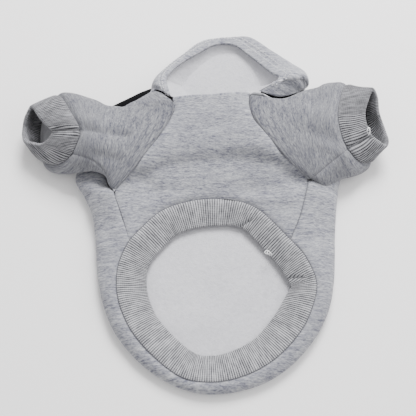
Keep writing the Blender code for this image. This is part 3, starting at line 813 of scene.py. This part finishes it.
class Nodes:
    """A short way to write a material's nodes."""

    def __init__(self, name, roughness, sheen, specular=0.25):
        self.material = bpy.data.materials.new(name)
        self.material.use_nodes = True
        self.tree = self.material.node_tree
        self.shader = self.tree.nodes["Principled BSDF"]
        self.shader.inputs["Roughness"].default_value = roughness
        self.shader.inputs["Sheen Weight"].default_value = sheen
        self.shader.inputs["Sheen Roughness"].default_value = 0.5
        self.shader.inputs["Specular IOR Level"].default_value = specular
        self.cloth = self.tree.nodes.new("ShaderNodeUVMap")
        self.cloth.uv_map = "cloth_map"

    def put(self, socket, value):
        if isinstance(value, bpy.types.NodeSocket):
            self.tree.links.new(value, socket)
        else:
            socket.default_value = value

    def mapped(self, scale, turn=0.0):
        node = self.tree.nodes.new("ShaderNodeMapping")
        node.inputs["Scale"].default_value = (*scale, 1.0)
        node.inputs["Rotation"].default_value = (0.0, 0.0, turn)
        self.put(node.inputs["Vector"], self.cloth.outputs["UV"])
        return node.outputs["Vector"]

    def noise(self, scale, detail=2.0, roughness=0.5, distortion=0.0, turn=0.0):
        node = self.tree.nodes.new("ShaderNodeTexNoise")
        node.inputs["Scale"].default_value = 1.0
        node.inputs["Detail"].default_value = detail
        node.inputs["Roughness"].default_value = roughness
        node.inputs["Distortion"].default_value = distortion
        self.put(node.inputs["Vector"], self.mapped(scale, turn))
        return node.outputs["Fac"]

    def math(self, kind, a, b=0.0, c=0.0):
        node = self.tree.nodes.new("ShaderNodeMath")
        node.operation = kind
        for socket, value in zip(node.inputs, (a, b, c)):
            self.put(socket, value)
        return node.outputs[0]

    def ramp(self, value, stops):
        node = self.tree.nodes.new("ShaderNodeValToRGB")
        elements = node.color_ramp.elements
        while len(elements) < len(stops):
            elements.new(0.5)
        for element, (place, colour) in zip(elements, stops):
            element.position = place
            element.color = (*colour, 1.0)
        self.put(node.inputs[0], value)
        return node.outputs[0]

    def mix(self, amount, a, b, kind="MIX"):
        node = self.tree.nodes.new("ShaderNodeMix")
        node.data_type = "RGBA"
        node.blend_type = kind
        self.put(node.inputs[0], amount)
        for socket, value in ((node.inputs[6], a), (node.inputs[7], b)):
            self.put(socket, value if isinstance(value, bpy.types.NodeSocket) else (*value, 1.0))
        return node.outputs[2]

    def bump(self, height, distance, strength=1.0, normal=None):
        node = self.tree.nodes.new("ShaderNodeBump")
        node.inputs["Distance"].default_value = distance
        node.inputs["Strength"].default_value = strength
        self.put(node.inputs["Height"], height)
        if normal is not None:
            self.put(node.inputs["Normal"], normal)
        return node.outputs["Normal"]

    def done(self, colour, normal=None):
        self.put(self.shader.inputs["Base Color"], colour)
        if normal is not None:
            self.put(self.shader.inputs["Normal"], normal)
        return self.material


def weighted(nodes, terms):
    """0.5 plus each fac's deviation from 0.5 times its weight."""
    total = 0.5
    for fac, weight in terms:
        part = nodes.math("MULTIPLY", nodes.math("SUBTRACT", fac, 0.5), weight)
        total = nodes.math("ADD", part, total)
    return total


def heather_fleece(name, brightness=1.0, contrast=1.0):
    """Grey melange knit: streaks of darker and paler fibre along the knitted rows. Its brightness scales
    the whole colour, and for the sleeves it is lowered as painted shade.
    """
    n = Nodes(name, 0.93, 0.2)
    streak = n.noise((210, 950), 3.0, 0.62, 0.6)
    long_streak = n.noise((80, 460), 2.0, 0.5, 0.9)
    fleck = n.noise((480, 1500), 2.0, 0.6)
    cloud = n.noise((45, 70), 2.0)
    value = weighted(n, ((streak, 1.35 * contrast), (long_streak, 0.9 * contrast), (fleck, 1.2 * contrast),
                         (cloud, 0.35)))
    colour = n.ramp(value, (
        (0.14, (0.120 * brightness, 0.122 * brightness, 0.165 * brightness)),
        (0.40, (0.285 * brightness, 0.288 * brightness, 0.325 * brightness)),
        (0.62, (0.400 * brightness, 0.404 * brightness, 0.430 * brightness)),
        (0.90, (0.580 * brightness, 0.585 * brightness, 0.605 * brightness)),
    ))
    hue = n.noise((60, 240), 1.0, turn=0.2)
    colour = n.mix(n.math("MULTIPLY", hue, 0.14), colour, (0.30 * brightness, 0.31 * brightness, 0.42 * brightness))
    rows = n.noise((500, 1400), 2.0, 0.6)
    fuzz = n.noise((2600, 2600), 2.0, 0.7)
    height = weighted(n, ((rows, 1.0), (fuzz, 0.5), (streak, 0.6)))
    return n.done(colour, n.bump(height, 0.00032, 1.0))


def brushed_lining(name):
    """The pale brushed back of the fleece, short matted nap."""
    n = Nodes(name, 0.97, 0.35)
    nap = n.noise((900, 900), 3.0, 0.7, 0.6)
    clump = n.noise((260, 330), 2.0, 0.6, 0.8)
    cloud = n.noise((30, 40), 2.0)
    value = weighted(n, ((nap, 0.5), (clump, 0.55), (cloud, 0.3)))
    colour = n.ramp(value, (
        (0.20, (0.430, 0.428, 0.462)),
        (0.50, (0.535, 0.532, 0.565)),
        (0.80, (0.620, 0.618, 0.645)),
    ))
    height = weighted(n, ((nap, 0.8), (clump, 1.0)))
    return n.done(colour, n.bump(height, 0.0004, 0.8))


def rib_knit(name, groove, ridge):
    """Rib knit: the map's first coordinate counts ribs, its second runs along them. The grooves between the
    ribs are painted darker as shade.
    """
    n = Nodes(name, 0.93, 0.2)
    parts = n.tree.nodes.new("ShaderNodeSeparateXYZ")
    n.put(parts.inputs[0], n.cloth.outputs["UV"])
    wave = n.math("COSINE", n.math("MULTIPLY", parts.outputs[0], 2 * math.pi))
    # 0 in the grooves and 1 on the ridges: the ramp below uses it to paint shade into the grooves
    groove_shade_wave = n.math("MULTIPLY_ADD", wave, -0.5, 0.5)
    loops = n.math("SINE", n.math("MULTIPLY", parts.outputs[1], 2 * math.pi * 720))
    melange = n.noise((0.9, 160), 3.0, 0.6)
    patch = n.noise((0.22, 60), 2.0)
    value = weighted(n, ((groove_shade_wave, 0.62), (melange, 1.0), (patch, 0.6), (loops, 0.06)))
    # the groove colour is painted shade, the ridge colour is the knit's own
    colour = n.ramp(value, ((0.10, groove), (0.50, [(a + b) / 2 for a, b in zip(groove, ridge)]),
                            (0.88, ridge)))
    height = weighted(n, ((melange, 0.8), (loops, 0.25), (n.noise((5, 900), 2.0), 0.5)))
    return n.done(colour, n.bump(height, 0.00025, 0.8))


def plain_thread(name, colour):
    n = Nodes(name, 0.85, 0.1)
    twist = n.noise((2400, 900), 1.0)
    return n.done(n.mix(n.math("MULTIPLY", twist, 0.5), colour, [c * 0.5 for c in colour]))


def black_fleece(name):
    n = Nodes(name, 0.95, 0.0, 0.05)
    fleck = n.noise((500, 1200), 2.0, 0.6)
    colour = n.ramp(fleck, ((0.3, (0.0015, 0.0015, 0.002)), (0.8, (0.006, 0.006, 0.007))))
    return n.done(colour, n.bump(fleck, 0.0003, 0.6))


# Pieces

def seam_dips(grid, first=False, last=False, left=False, right=False):
    """The dips of a panel into the seams on these sides of its grid."""
    total = np.zeros(grid.shape[:2])
    for wanted, axis, far in ((first, 0, False), (last, 0, True), (left, 1, False), (right, 1, True)):
        if wanted:
            total += dip(from_edge(grid, axis, far))
    return total


def soft_rumple(uv, size, seed):
    """Low, soft unevenness of cloth that lies loose."""
    u, v = uv[..., 0], uv[..., 1]
    return size * (soft_noise(u, v, 0.021, 0.014, seed) + 0.5 * soft_noise(u, v, 0.009, 0.007, seed + 1))


def shoulder_front(corner, rows, side):
    return spread([body_point(*corner), *(body_point(*row) for row in rows), side["side"][-1, :3]],
                  CHEST_ROWS * 2)


def make_chest(over, front_left, front_right, left, right, materials):
    neckline = spread([body_point(*row) for row in NECKLINE], CHEST_COLUMNS)
    left_edge = even(np.vstack((front_left[:-1], left["side"][::-1, :3])), CHEST_ROWS)
    right_edge = even(np.vstack((front_right[:-1], right["side"][::-1, :3])), CHEST_ROWS)
    grid = refined(coons(neckline, over[:, :3], left_edge, right_edge), *CHEST_MESH)
    grid = pull_back_sides(pull_back(grid, last=SEAM_CLOSE), first=SEAM_CLOSE, last=SEAM_CLOSE)
    normal = normals_up(grid)
    uv = flat_map(grid)
    uv[..., 1] += 0.8 * (uv[..., 0] - 0.003) ** 2
    amount = seam_dips(grid, last=True, left=True, right=True)
    folds = CHEST_FOLDS + tuple(seen_folds(CHEST_HOLLOWS))
    amount += pressed(grid, folds, normal[..., 2]) + soft_rumple(uv, *CHEST_RUMPLE)
    grid = moved(grid, normal, amount)
    turn = []
    for angle in np.linspace(0, math.radians(NECK_TURN_ANGLE), 6)[1:]:
        row = grid[0].copy()
        row[:, 1] += NECK_TURN * math.sin(angle)
        row[:, 2] -= NECK_TURN * (1 - math.cos(angle))
        turn.append(row)
    full = np.vstack((np.array(turn[::-1]), grid))
    uv = np.vstack((np.repeat(uv[:1], len(turn), axis=0), uv))
    cloth = Cloth().add(full, uv, outward=np.vstack((np.repeat(normal[:1], len(turn), axis=0), normal)))
    return cloth.piece("chest_cloth", materials, FLEECE)


def tray_floor(edge, middle, rings, lift, seed):
    """Rings of cloth from a closed edge on the table in to its middle, gently uneven."""
    shares = np.linspace(0, 0.985, rings)[:, None, None]
    grid = edge[None] * (1 - shares) + middle * shares
    inside = np.clip(np.linspace(0, 4, rings), 0, 1)[:, None]
    waves = 0.5 + 0.5 * soft_noise(grid[..., 0], grid[..., 1], 0.03, 0.022, seed)
    grid[..., 2] = FLEECE / 2 + lift * inside * waves
    cap = np.mean(grid[-1], axis=0)
    return np.concatenate((grid, np.tile(cap, (1, grid.shape[1], 1))))


def with_floor(grid, uv, normal, closing, middle, floor_mesh, seed):
    """A rolled edge and the floor inside its last row and a closing line, as one cloth."""
    floor = tray_floor(np.vstack((grid[-1], closing)), middle, *floor_mesh, seed)
    return Cloth().add(grid, uv, outward=normal).add(floor, flat_map(floor), DOWN, closed=True)


def make_back(under, left, right, materials):
    run = np.vstack((left["panel"][::-1], left["side"][::-1][1:],
                     under[::-1][1:-1][:, [0, 1, 2, 5, 6, 7]],
                     right["side"], right["panel"][1:]))
    seam, outline = run[:, :3].copy(), run[:, 3:6]
    ends = len(left["panel"])
    middle = outline.mean(axis=0)
    wing = ends + len(left["side"]) - 1
    fullness = np.ones(len(run))
    fullness[:wing] = np.linspace(WING_FULLNESS, 1.0, wing)
    fullness[-wing:] = np.linspace(1.0, WING_FULLNESS, wing)
    strip = rolled_strip(seam, outline, middle, fullness)
    grid = pull_back(refined(strip, *BACK_MESH), first=SEAM_CLOSE)
    grid[..., 2] = np.maximum(grid[..., 2], FLEECE / 2)
    normal = normals_up(grid)
    uv = flat_map(grid)
    amount = seam_dips(grid, first=True) + pressed(grid, BACK_FOLDS, normal[..., 2])
    amount += soft_rumple(uv, *BACK_RUMPLE) * np.clip(normal[..., 2] * 2, 0, 1)
    grid = moved(grid, normal, amount * fading(grid))
    closing = np.linspace(grid[-1, -1], grid[-1, 0], BACK_CLOSING)[1:-1]
    cloth = with_floor(grid, uv, normal, closing, np.array((0.0, middle[1], 0.0)), BACK_FLOOR, 5)
    return cloth.piece("back_cloth", materials, FLEECE, merge=True)


def feet_of(left, right, neck):
    """The feet of the hood, beside the sleeves, from the front down to the back neck seam."""
    feet = []
    for side, gap, corner, end in ((left, FOOT_GAP_LEFT, HOOD_CORNER_LEFT, neck[0]),
                                   (right, FOOT_GAP_RIGHT, HOOD_CORNER_RIGHT, neck[-1])):
        upper = np.vstack((side["foot"][::-1], side["yoke"][-1:, 3:6])) + np.array((0, gap, 0))
        feet.append(np.vstack((seen_at(*corner), upper, end)))
    return feet


def make_hood(left, right, neck, materials):
    feet = feet_of(left, right, neck)
    rows = [(*feet[0][0], *feet[0][-2])]
    rows += [(*hood_point(*row[:3]), *hood_point(*row[3:])) for row in HOOD_RIM]
    rows += [(*feet[1][0], *feet[1][-2])]
    rim = spread(rows, HOOD_STATIONS)
    middle = hood_point(0, HOOD_HEART, 0)
    strip = rolled_strip(rim[:, :3], rim[:, 3:6], middle, 1.0)
    for foot, station in zip(feet, (0, -1)):
        strip[:-1, station] = spread(foot, len(strip) - 1)
    strip = pull_back_sides(strip, first=SEAM_GAP, last=SEAM_GAP)
    grid = refined(strip, *HOOD_MESH)
    grid[..., 2] = np.maximum(grid[..., 2], FLEECE / 2)
    normal = normals_up(grid)
    uv = flat_map(grid)
    hem = from_edge(grid, 0)
    amount = soft_rumple(uv, *HOOD_RUMPLE) - HEM_GROOVE * bell(hem - HEM_STITCH, HEM_GROOVE_WIDTH)
    amount += pressed(grid, seen_folds(HOOD_FOLDS), np.clip(normal[..., 2] + 0.4, 0, 1))
    waves = np.sin(from_edge(grid, 1) / PUCKER_LENGTH)
    amount += PUCKER * waves * bell(hem - HEM_STITCH, PUCKER_WIDTH)
    grid = moved(grid, normal, amount * fading(grid))
    closing = spread([grid[-1, -1], *neck[-2:0:-3], grid[-1, 0]], HOOD_CLOSING)[1:-1]
    cloth = with_floor(grid, uv, normal, closing, middle, HOOD_FLOOR, 8)
    hood = cloth.piece("hood_cloth", materials, FLEECE, merge=True)
    stitches = []
    for offset in HEM_STITCH_ROWS:
        row = np.array([np.interp(HEM_STITCH + offset, hem[:, k], grid[:, k, axis])
                        for k in range(4, grid.shape[1] - 4) for axis in range(3)]).reshape(-1, 3)
        lift = normal[6, 4:-4]
        stitches.append(row + lift * FLEECE / 2)
    return hood, grid, normal, stitches


def make_hood_lining(grid, material):
    """The brushed inside of the hood, from under its hem down into the nap of its floor."""
    edge = grid[2, LINING_START:-LINING_START].copy()
    middle = hood_point(0, HOOD_HEART, 0)
    step = middle - edge
    step[:, 2] = 0
    length = np.linalg.norm(step, axis=1, keepdims=True)
    run = np.minimum(LINING_RUN + LINING_SLOPE * edge[:, 2:3], length * 0.8)
    foot = edge + step / length * run
    foot[:, 2] = FLEECE / 2
    outer = edge - step / length * LINING_OUT
    outer[:, 2] -= LINING_DOWN
    rows = []
    for share in np.linspace(0, 1, LINING_ROWS):
        row = outer + (foot - outer) * share
        row[:, 2] = foot[:, 2] + (outer[:, 2] - foot[:, 2]) * (1 - share) ** 1.5
        rows.append(row)
    lining = np.array(rows)
    normal = normals_up(lining, LINING_ROWS // 2)
    uv = flat_map(lining)
    lining = moved(lining, normal, soft_rumple(uv, *LINING_RUMPLE))
    return Cloth().add(lining, uv).piece("hood_lining", [material, material], LINING_THICKNESS)


def make_yoke(left, right, neck, material):
    """The black yoke: two rolled shoulders, its floor and the slivers beside the hood's feet."""
    cloth = Cloth()
    feet = feet_of(left, right, neck)
    wedge = np.array([seen_at(*row) for row in YOKE_WEDGE])
    borders = []
    for side in (left, right):
        run = side["yoke"].copy()
        if side is left:
            shown = np.interp(run[:, 3], wedge[:, 0], wedge[:, 1])
            run[:, 4] = np.where(run[:, 3] > wedge[0, 0], shown, run[:, 4])
        run[:, 2] -= FLEECE + SEAM_GAP
        strip = rolled_strip(run[:, :3], run[:, 3:6], np.zeros(3), WING_FULLNESS)
        grid = refined(strip, *YOKE_MESH)
        grid[..., 2] = np.maximum(grid[..., 2], FLEECE / 2)
        cloth.add(grid, flat_map(grid))
        borders.append(grid[-1])
    inner = refined(neck[None, :] * np.ones((2, 1, 1)), 2, YOKE_FLOOR_COLUMNS)[0]
    top = np.vstack((borders[0][-1:], inner[2:-2], borders[1][-1:]))
    bottom = np.vstack((borders[0][:1], borders[1][:1]))
    floor = coons(even(top, YOKE_FLOOR_COLUMNS), even(bottom, YOKE_FLOOR_COLUMNS),
                  borders[0][::-1], borders[1][::-1])
    floor[..., 2] = FLEECE / 2
    cloth.add(floor, flat_map(floor))
    for side, foot in zip((left, right), feet):
        rows, columns = SLIVER_MESH
        sleeve_edge = spread(side["foot"], columns) - np.array((0, SLIVER_TUCK, SLIVER_DROP))
        hood_edge = spread(foot[1:1 + len(side["foot"])][::-1], columns)
        hood_edge += np.array((0, SLIVER_TUCK, -SLIVER_DROP))
        shares = np.linspace(0, 1, rows)[:, None, None]
        sliver = sleeve_edge[None] * (1 - shares) + hood_edge[None] * shares
        sliver[..., 2] -= SLIVER_SAG * np.sin(math.pi * shares[..., 0])
        cloth.add(sliver, flat_map(sliver))
    return cloth.piece("yoke_cloth", [material, material], FLEECE)


def rib_profile(stations):
    """Height of the ribs at counted places round a band, narrow grooves between round ridges."""
    return np.abs(np.sin(math.pi * stations)) ** RIB_ROUNDNESS


def doubled(grid, ribs, inward_rows, materials, name, thickness=RIB_FLEECE, height=RIB_HEIGHT):
    """A doubled band: over from its seam, round its folded free edge and back inside."""
    normal = normals_of(grid, closed=True)
    rise = rib_profile(ribs)[None, :]
    seam = from_edge(grid, 0)
    size = thickness / 2 + height * (rise - 0.5)
    size = size * (1 - RIB_PINCH * bell(seam, RIB_PINCH_WIDTH))
    over = grid + normal * size[..., None]
    inside = (grid - normal * size[..., None])[::-1]
    out = grid[-1] - grid[-2]
    out /= np.linalg.norm(out, axis=1, keepdims=True)
    fold = []
    for angle in np.linspace(0, math.pi, 7)[1:-1]:
        turn = normal[-1] * math.cos(angle) + out * math.sin(angle)
        fold.append(grid[-1] + turn * size[-1][:, None])
    full = np.vstack((over, np.array(fold), inside[:inward_rows]))
    loop = np.concatenate((full, full[:, :1]), axis=1)
    along = from_edge(loop, 0).mean(axis=1)[:, None] * np.ones((1, loop.shape[1]))
    count = np.append(ribs, ribs[-1] + (ribs[1] - ribs[0]))[None, :] * np.ones((len(loop), 1))
    uv = np.stack((count, along), axis=-1)
    cloth = Cloth().add(full, uv, closed=True, closed_rows=True)
    return cloth.piece(name, materials)


def make_band(over, under, materials):
    loop = np.vstack((over[:-1, :5], under[:-1, :5]))
    seam = loop[:, :3]
    ahead = np.roll(seam, -1, axis=0) - np.roll(seam, 1, axis=0)
    inward = np.column_stack((ahead[:, 1], -ahead[:, 0], np.zeros(len(seam))))
    inward /= np.linalg.norm(inward, axis=1, keepdims=True)
    edge = seam + inward * loop[:, 3:4]
    edge[:, 2] = loop[:, 4]
    rows = []
    for share in np.linspace(0, 1, BAND_ROWS):
        row = seam + (edge - seam) * share
        row[:, 2] = seam[:, 2] + (edge[:, 2] - seam[:, 2]) * share ** BAND_DROOP
        rows.append(row)
    ribs = round(length_of(seam) / RIB_PITCH)
    stations = ribs * RIB_POINTS
    grid = pull_back(refined(np.array(rows), WAIST_BAND_ROWS, stations, closed=True), first=SEAM_CLOSE)
    normal = normals_of(grid, closed=True)
    if normal[8, :, 2].mean() < 0:
        grid, normal = grid[:, ::-1], -normal[:, ::-1]
    uv = flat_map(grid)
    amount = soft_rumple(uv, *BAND_RUMPLE)
    amount += pressed(grid, seen_folds(BAND_FOLDS), np.ones(grid.shape[:2]))
    grid = moved(grid, normal, amount)
    # dark tubes along the band's creases, painted shadow
    crease_shade_lines = [laid_on(grid, normal, line, RIB_FLEECE / 2) for line in BAND_CREASE_SHADE_LINES]
    band = doubled(grid, np.arange(stations) / RIB_POINTS, WAIST_BAND_ROWS, materials, "waist_band_cloth")
    return band, seam, crease_shade_lines


def loft(rings, count):
    flat = np.array([ring.reshape(-1) for ring in rings])
    values = np.linspace(0, len(rings) - 1, count)
    return spline_points(flat, values).reshape(count, -1, 3)


def angles_round(count, share):
    """Angles round a tube for its columns, of which the front takes up this share."""
    top, under = math.radians(TOP_ANGLE), math.radians(UNDERARM_ANGLE)
    return np.interp(np.arange(count) / count, (0.0, share, 1.0), (top, under, 2 * math.pi + top))


def make_sleeve_and_cuff(side_name, seed, front, side, rings, cuff_rings, edge, folds, fleece, rib):
    back = np.vstack((side["panel"][:, :3], side["yoke"][1:, :3], side["foot"][1:]))
    raglan = np.vstack((front, back[1:], front[:1]))
    count = SLEEVE_COLUMNS
    armhole = even(raglan, count + 1)[:-1]
    share = length_of(front) / length_of(raglan)
    angles = angles_round(count, share)
    sections = [armhole] + [ring_through(rows, angles) for rows in (*rings, cuff_rings[0])]
    grid = held_under(loft(sections, SLEEVE_ROWS), edge)
    grid = pull_back(grid, first=SEAM_CLOSE, last=SEAM_CLOSE)
    grid[..., 2] = np.maximum(grid[..., 2], FLEECE / 2)
    normal = normals_of(grid, closed=True)
    if points_in(grid, normal):
        normal = -normal
    uv = wrapped_map(grid)
    amount = seam_dips(grid, first=True, last=True)
    seam_at = share * count
    spacing = length_of(closed_run(grid[SLEEVE_ROWS // 2])) / count
    offset = (np.arange(count) - seam_at) * spacing
    amount += dip(np.abs(offset), UNDERARM_DIP, UNDERARM_DIP_WIDTH)[None, :]
    bent = pressed(grid, folds, normal[..., 2]) + soft_rumple(uv[:, :-1], SLEEVE_RUMPLE, seed)
    amount += bent * fading(grid)
    grid = moved(grid, normal, amount)
    underarm = grid[:, int(seam_at)] + normal[:, int(seam_at)] * FLEECE / 2
    cloth = Cloth().add(grid, uv, outward=normal, closed=True)
    sleeve = cloth.piece("sleeve_cloth_" + side_name, fleece, FLEECE)
    seam_ring = ring_through(cuff_rings[0], angles)
    count = round(length_of(closed_run(seam_ring)) / RIB_PITCH) * RIB_POINTS
    angles = angles_round(count, share)
    grid = pull_back(loft([ring_through(rows, angles) for rows in cuff_rings], CUFF_ROWS), first=SEAM_CLOSE)
    normal = normals_of(grid, closed=True)
    if points_in(grid, normal):
        grid, normal = grid[:, ::-1], -normal[:, ::-1]
    grid = moved(grid, normal, pressed(grid, seen_folds(CUFF_FOLDS), np.clip(normal[..., 2] + 0.5, 0, 1)))
    cuff = doubled(grid, np.arange(count) / RIB_POINTS, CUFF_ROWS, rib, "cuff_cloth_" + side_name,
                   height=CUFF_RIB_HEIGHT)
    return sleeve, cuff, seam_ring, underarm, grid, normal


def make_threads(paths, name, material, radius=THREAD_RADIUS, sides=6):
    """Round closed-ended tubes along paths: sewing threads and loose thread ends, and dark tubes that paint
    the shade of seam grooves and creases.
    """
    cloth = Cloth()
    for path in paths:
        grid = tube_grid(path, radius, sides, taper=0.9)
        cloth.add(grid, wrapped_map(grid), closed=True)
    return cloth.piece(name, [material])


def make_stitches(lines, name, material):
    """Short stitches, one after the other along each line."""
    cloth = Cloth()
    for line in lines:
        count = int(length_of(line) / HEM_STITCH_PITCH)
        fine = even(line, count * STITCH_POINTS)
        for k in range(count - 1):
            start = STITCH_POINTS * k
            path = fine[start:start + STITCH_SHOWN].copy()
            path[[0, -1], 2] -= STITCH_SINK
            path[1:-1, 2] += STITCH_RISE
            grid = tube_grid(path, STITCH_RADIUS, 5, taper=0.6)
            cloth.add(grid, wrapped_map(grid), closed=True)
    return cloth.piece(name, [material])


def lifted(path, lift=SEAM_LIFT):
    return path + np.array((0.0, 0.0, lift))


# Build

over, under = waist_seam()
left = shoulder_seam(SHOULDER_LEFT, over[0, :3], under[-1, 5:8], NECK_ROW_LEFT)
right = shoulder_seam(SHOULDER_RIGHT, over[-1, :3], under[0, 5:8], NECK_ROW_RIGHT)
neck_ends = [on_table(towards(side["yoke"][-1:, 3:6], np.zeros(3), ROLL))[0] for side in (left, right)]
neck = spread([neck_ends[0], *((x * CHEST_HALF, -y * BODY_LENGTH, FLEECE / 2) for x, y in BACK_NECK),
               neck_ends[1]], NECK_STATIONS * 6)
front_left = shoulder_front(NECKLINE[0], RAGLAN_LEFT, left)
front_right = shoulder_front(NECKLINE[-1], RAGLAN_RIGHT, right)

fleece = heather_fleece("fleece_outside", 0.77, 0.90)
hood_fleece = heather_fleece("fleece_hood", 0.80, 0.95)
# the sleeves' copy of the fleece is darker all over as painted shade
sleeve_fleece_shaded = heather_fleece("fleece_sleeve_shaded", 0.47, 0.95)
lining = brushed_lining("fleece_inside")
# the groove colours of both rib knits are painted shade
rib = rib_knit("rib_band", (0.07, 0.07, 0.08), (0.455, 0.455, 0.475))
# the cuffs' copy of the rib knit is darker all over as painted shade
cuff_rib_shaded = rib_knit("rib_cuff_shaded", (0.022, 0.022, 0.026), (0.315, 0.315, 0.335))
black = black_fleece("yoke_black_cloth")
# dark thread colour: partly the stitching itself and partly painted shade of the seam grooves
seam_thread_and_shade = plain_thread("thread_dark_and_painted_shade", (0.12, 0.12, 0.14))
pale_thread = plain_thread("thread_pale", (0.72, 0.72, 0.73))
white_thread = plain_thread("thread_white", (0.85, 0.85, 0.86))

chest = make_chest(over, front_left, front_right, left, right, [fleece, lining])
back = make_back(under, left, right, [fleece, lining])
hood, hood_grid, hood_normal, hood_stitches = make_hood(left, right, neck, [hood_fleece, lining])
hood_lining = make_hood_lining(hood_grid, lining)
yoke = make_yoke(left, right, neck, black)
band, waist_loop, band_crease_shade_lines = make_band(over, under, [rib])
sleeve_left, cuff_left, cuff_seam_left, under_left, *_ = make_sleeve_and_cuff(
    "left", SLEEVE_SEEDS[0], front_left, left, SLEEVE_RINGS_LEFT, CUFF_RINGS_LEFT, SLEEVE_EDGE_LEFT,
    SLEEVE_FOLDS_LEFT, [sleeve_fleece_shaded, lining], [cuff_rib_shaded])
sleeve_right, cuff_right, cuff_seam_right, under_right, cuff_grid, cuff_normal = make_sleeve_and_cuff(
    "right", SLEEVE_SEEDS[1], front_right, right, SLEEVE_RINGS_RIGHT, CUFF_RINGS_RIGHT, SLEEVE_EDGE_RIGHT,
    SLEEVE_FOLDS_RIGHT, [sleeve_fleece_shaded, lining], [cuff_rib_shaded])

# Dark threads along the seams are the real stitching darkened as painted shade of the seam grooves; the
# band crease lines among them are painted shadow only.
seams = make_threads([
    *(lifted(spread(front[::6], 90)) for front in (front_left, front_right)),
    *(lifted(spread(side["side"][:, :3], 30)) for side in (left, right)),
    lifted(spread(closed_run(waist_loop), 420), WAIST_SEAM_LIFT),
    *(spread(closed_run(ring[::8]), 160) for ring in (cuff_seam_left, cuff_seam_right)),
    under_left[::2],
    under_right[::2],
    laid_on(hood_grid, hood_normal, HOOD_SEAM, FLEECE / 2),
    laid_on(cuff_grid, cuff_normal, CUFF_SEAM_RIGHT, RIB_FLEECE / 2 + CUFF_RIB_HEIGHT),
    *band_crease_shade_lines,
], "seam_threads_and_painted_shade", seam_thread_and_shade)
stitches = make_stitches(hood_stitches, "hem_stitches", pale_thread)
tails = make_threads([spread([seen_at(*row) for row in path], 30) for path in THREAD_TAILS],
                     "thread_tails", white_thread, LOOSE_THREAD_RADIUS)

PIECES = (
    # piece, CAD node, slot
    (chest, "chest_panel", "fleece_grey"),
    (back, "back_panel", "fleece_grey"),
    (hood, "hood", "fleece_grey"),
    (hood_lining, None, "fleece_grey"),
    (yoke, "back_yoke", "yoke_black"),
    (band, "waist_band", "rib_grey"),
    (sleeve_left, "sleeve_left", "fleece_grey"),
    (sleeve_right, "sleeve_right", "fleece_grey"),
    (cuff_left, "cuff_left", "rib_grey"),
    (cuff_right, "cuff_right", "rib_grey"),
    (seams, None, "fleece_grey"),
    (stitches, None, "fleece_grey"),
    (tails, None, "rib_grey"),
)
# Each piece goes under the root and hides the CAD node that it stands in for
for piece, node, slot in PIECES:
    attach(piece, "root")
    if node:
        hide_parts(node)


# Table, light and camera

def make_table():
    mesh = bpy.data.meshes.new("table")
    corners = [(x * TABLE_HALF, y * TABLE_HALF, 0) for x, y in ((-1, -1), (1, -1), (1, 1), (-1, 1))]
    mesh.from_pydata(corners, [], [(0, 1, 2, 3)])
    table = bpy.data.objects.new("table", mesh)
    bpy.context.scene.collection.objects.link(table)
    table.location.z = -TABLE_DROP
    material = bpy.data.materials.new("table_white")
    material.use_nodes = True
    shader = material.node_tree.nodes["Principled BSDF"]
    shader.inputs["Base Color"].default_value = (*TABLE_COLOUR, 1.0)
    shader.inputs["Roughness"].default_value = 0.9
    shader.inputs["Specular IOR Level"].default_value = 0.1
    mesh.materials.append(material)


def make_light(name, place, aim, size, power):
    lamp = bpy.data.lights.new(name, "AREA")
    lamp.shape = "SQUARE"
    lamp.size = size
    lamp.energy = power
    light = bpy.data.objects.new(name, lamp)
    light.location = place
    light.rotation_euler = (Vector(aim) - Vector(place)).to_track_quat("-Z", "Y").to_euler()
    bpy.context.scene.collection.objects.link(light)


def make_camera():
    camera = bpy.data.cameras.new("camera")
    camera.lens = CAMERA_LENS
    camera.clip_start = 0.01
    eye = bpy.data.objects.new("camera", camera)
    eye.location = EYE
    eye.rotation_euler = Vector(AWAY).to_track_quat("Z", "Y").to_euler()
    bpy.context.scene.collection.objects.link(eye)
    bpy.context.scene.camera = eye


make_table()
for light in LIGHTS:
    make_light(*light)
make_camera()
world = bpy.data.worlds.new("studio")
world.use_nodes = True
world.node_tree.nodes["Background"].inputs["Color"].default_value = (*WORLD_COLOUR, 1.0)
world.node_tree.nodes["Background"].inputs["Strength"].default_value = WORLD_STRENGTH
bpy.context.scene.world = world
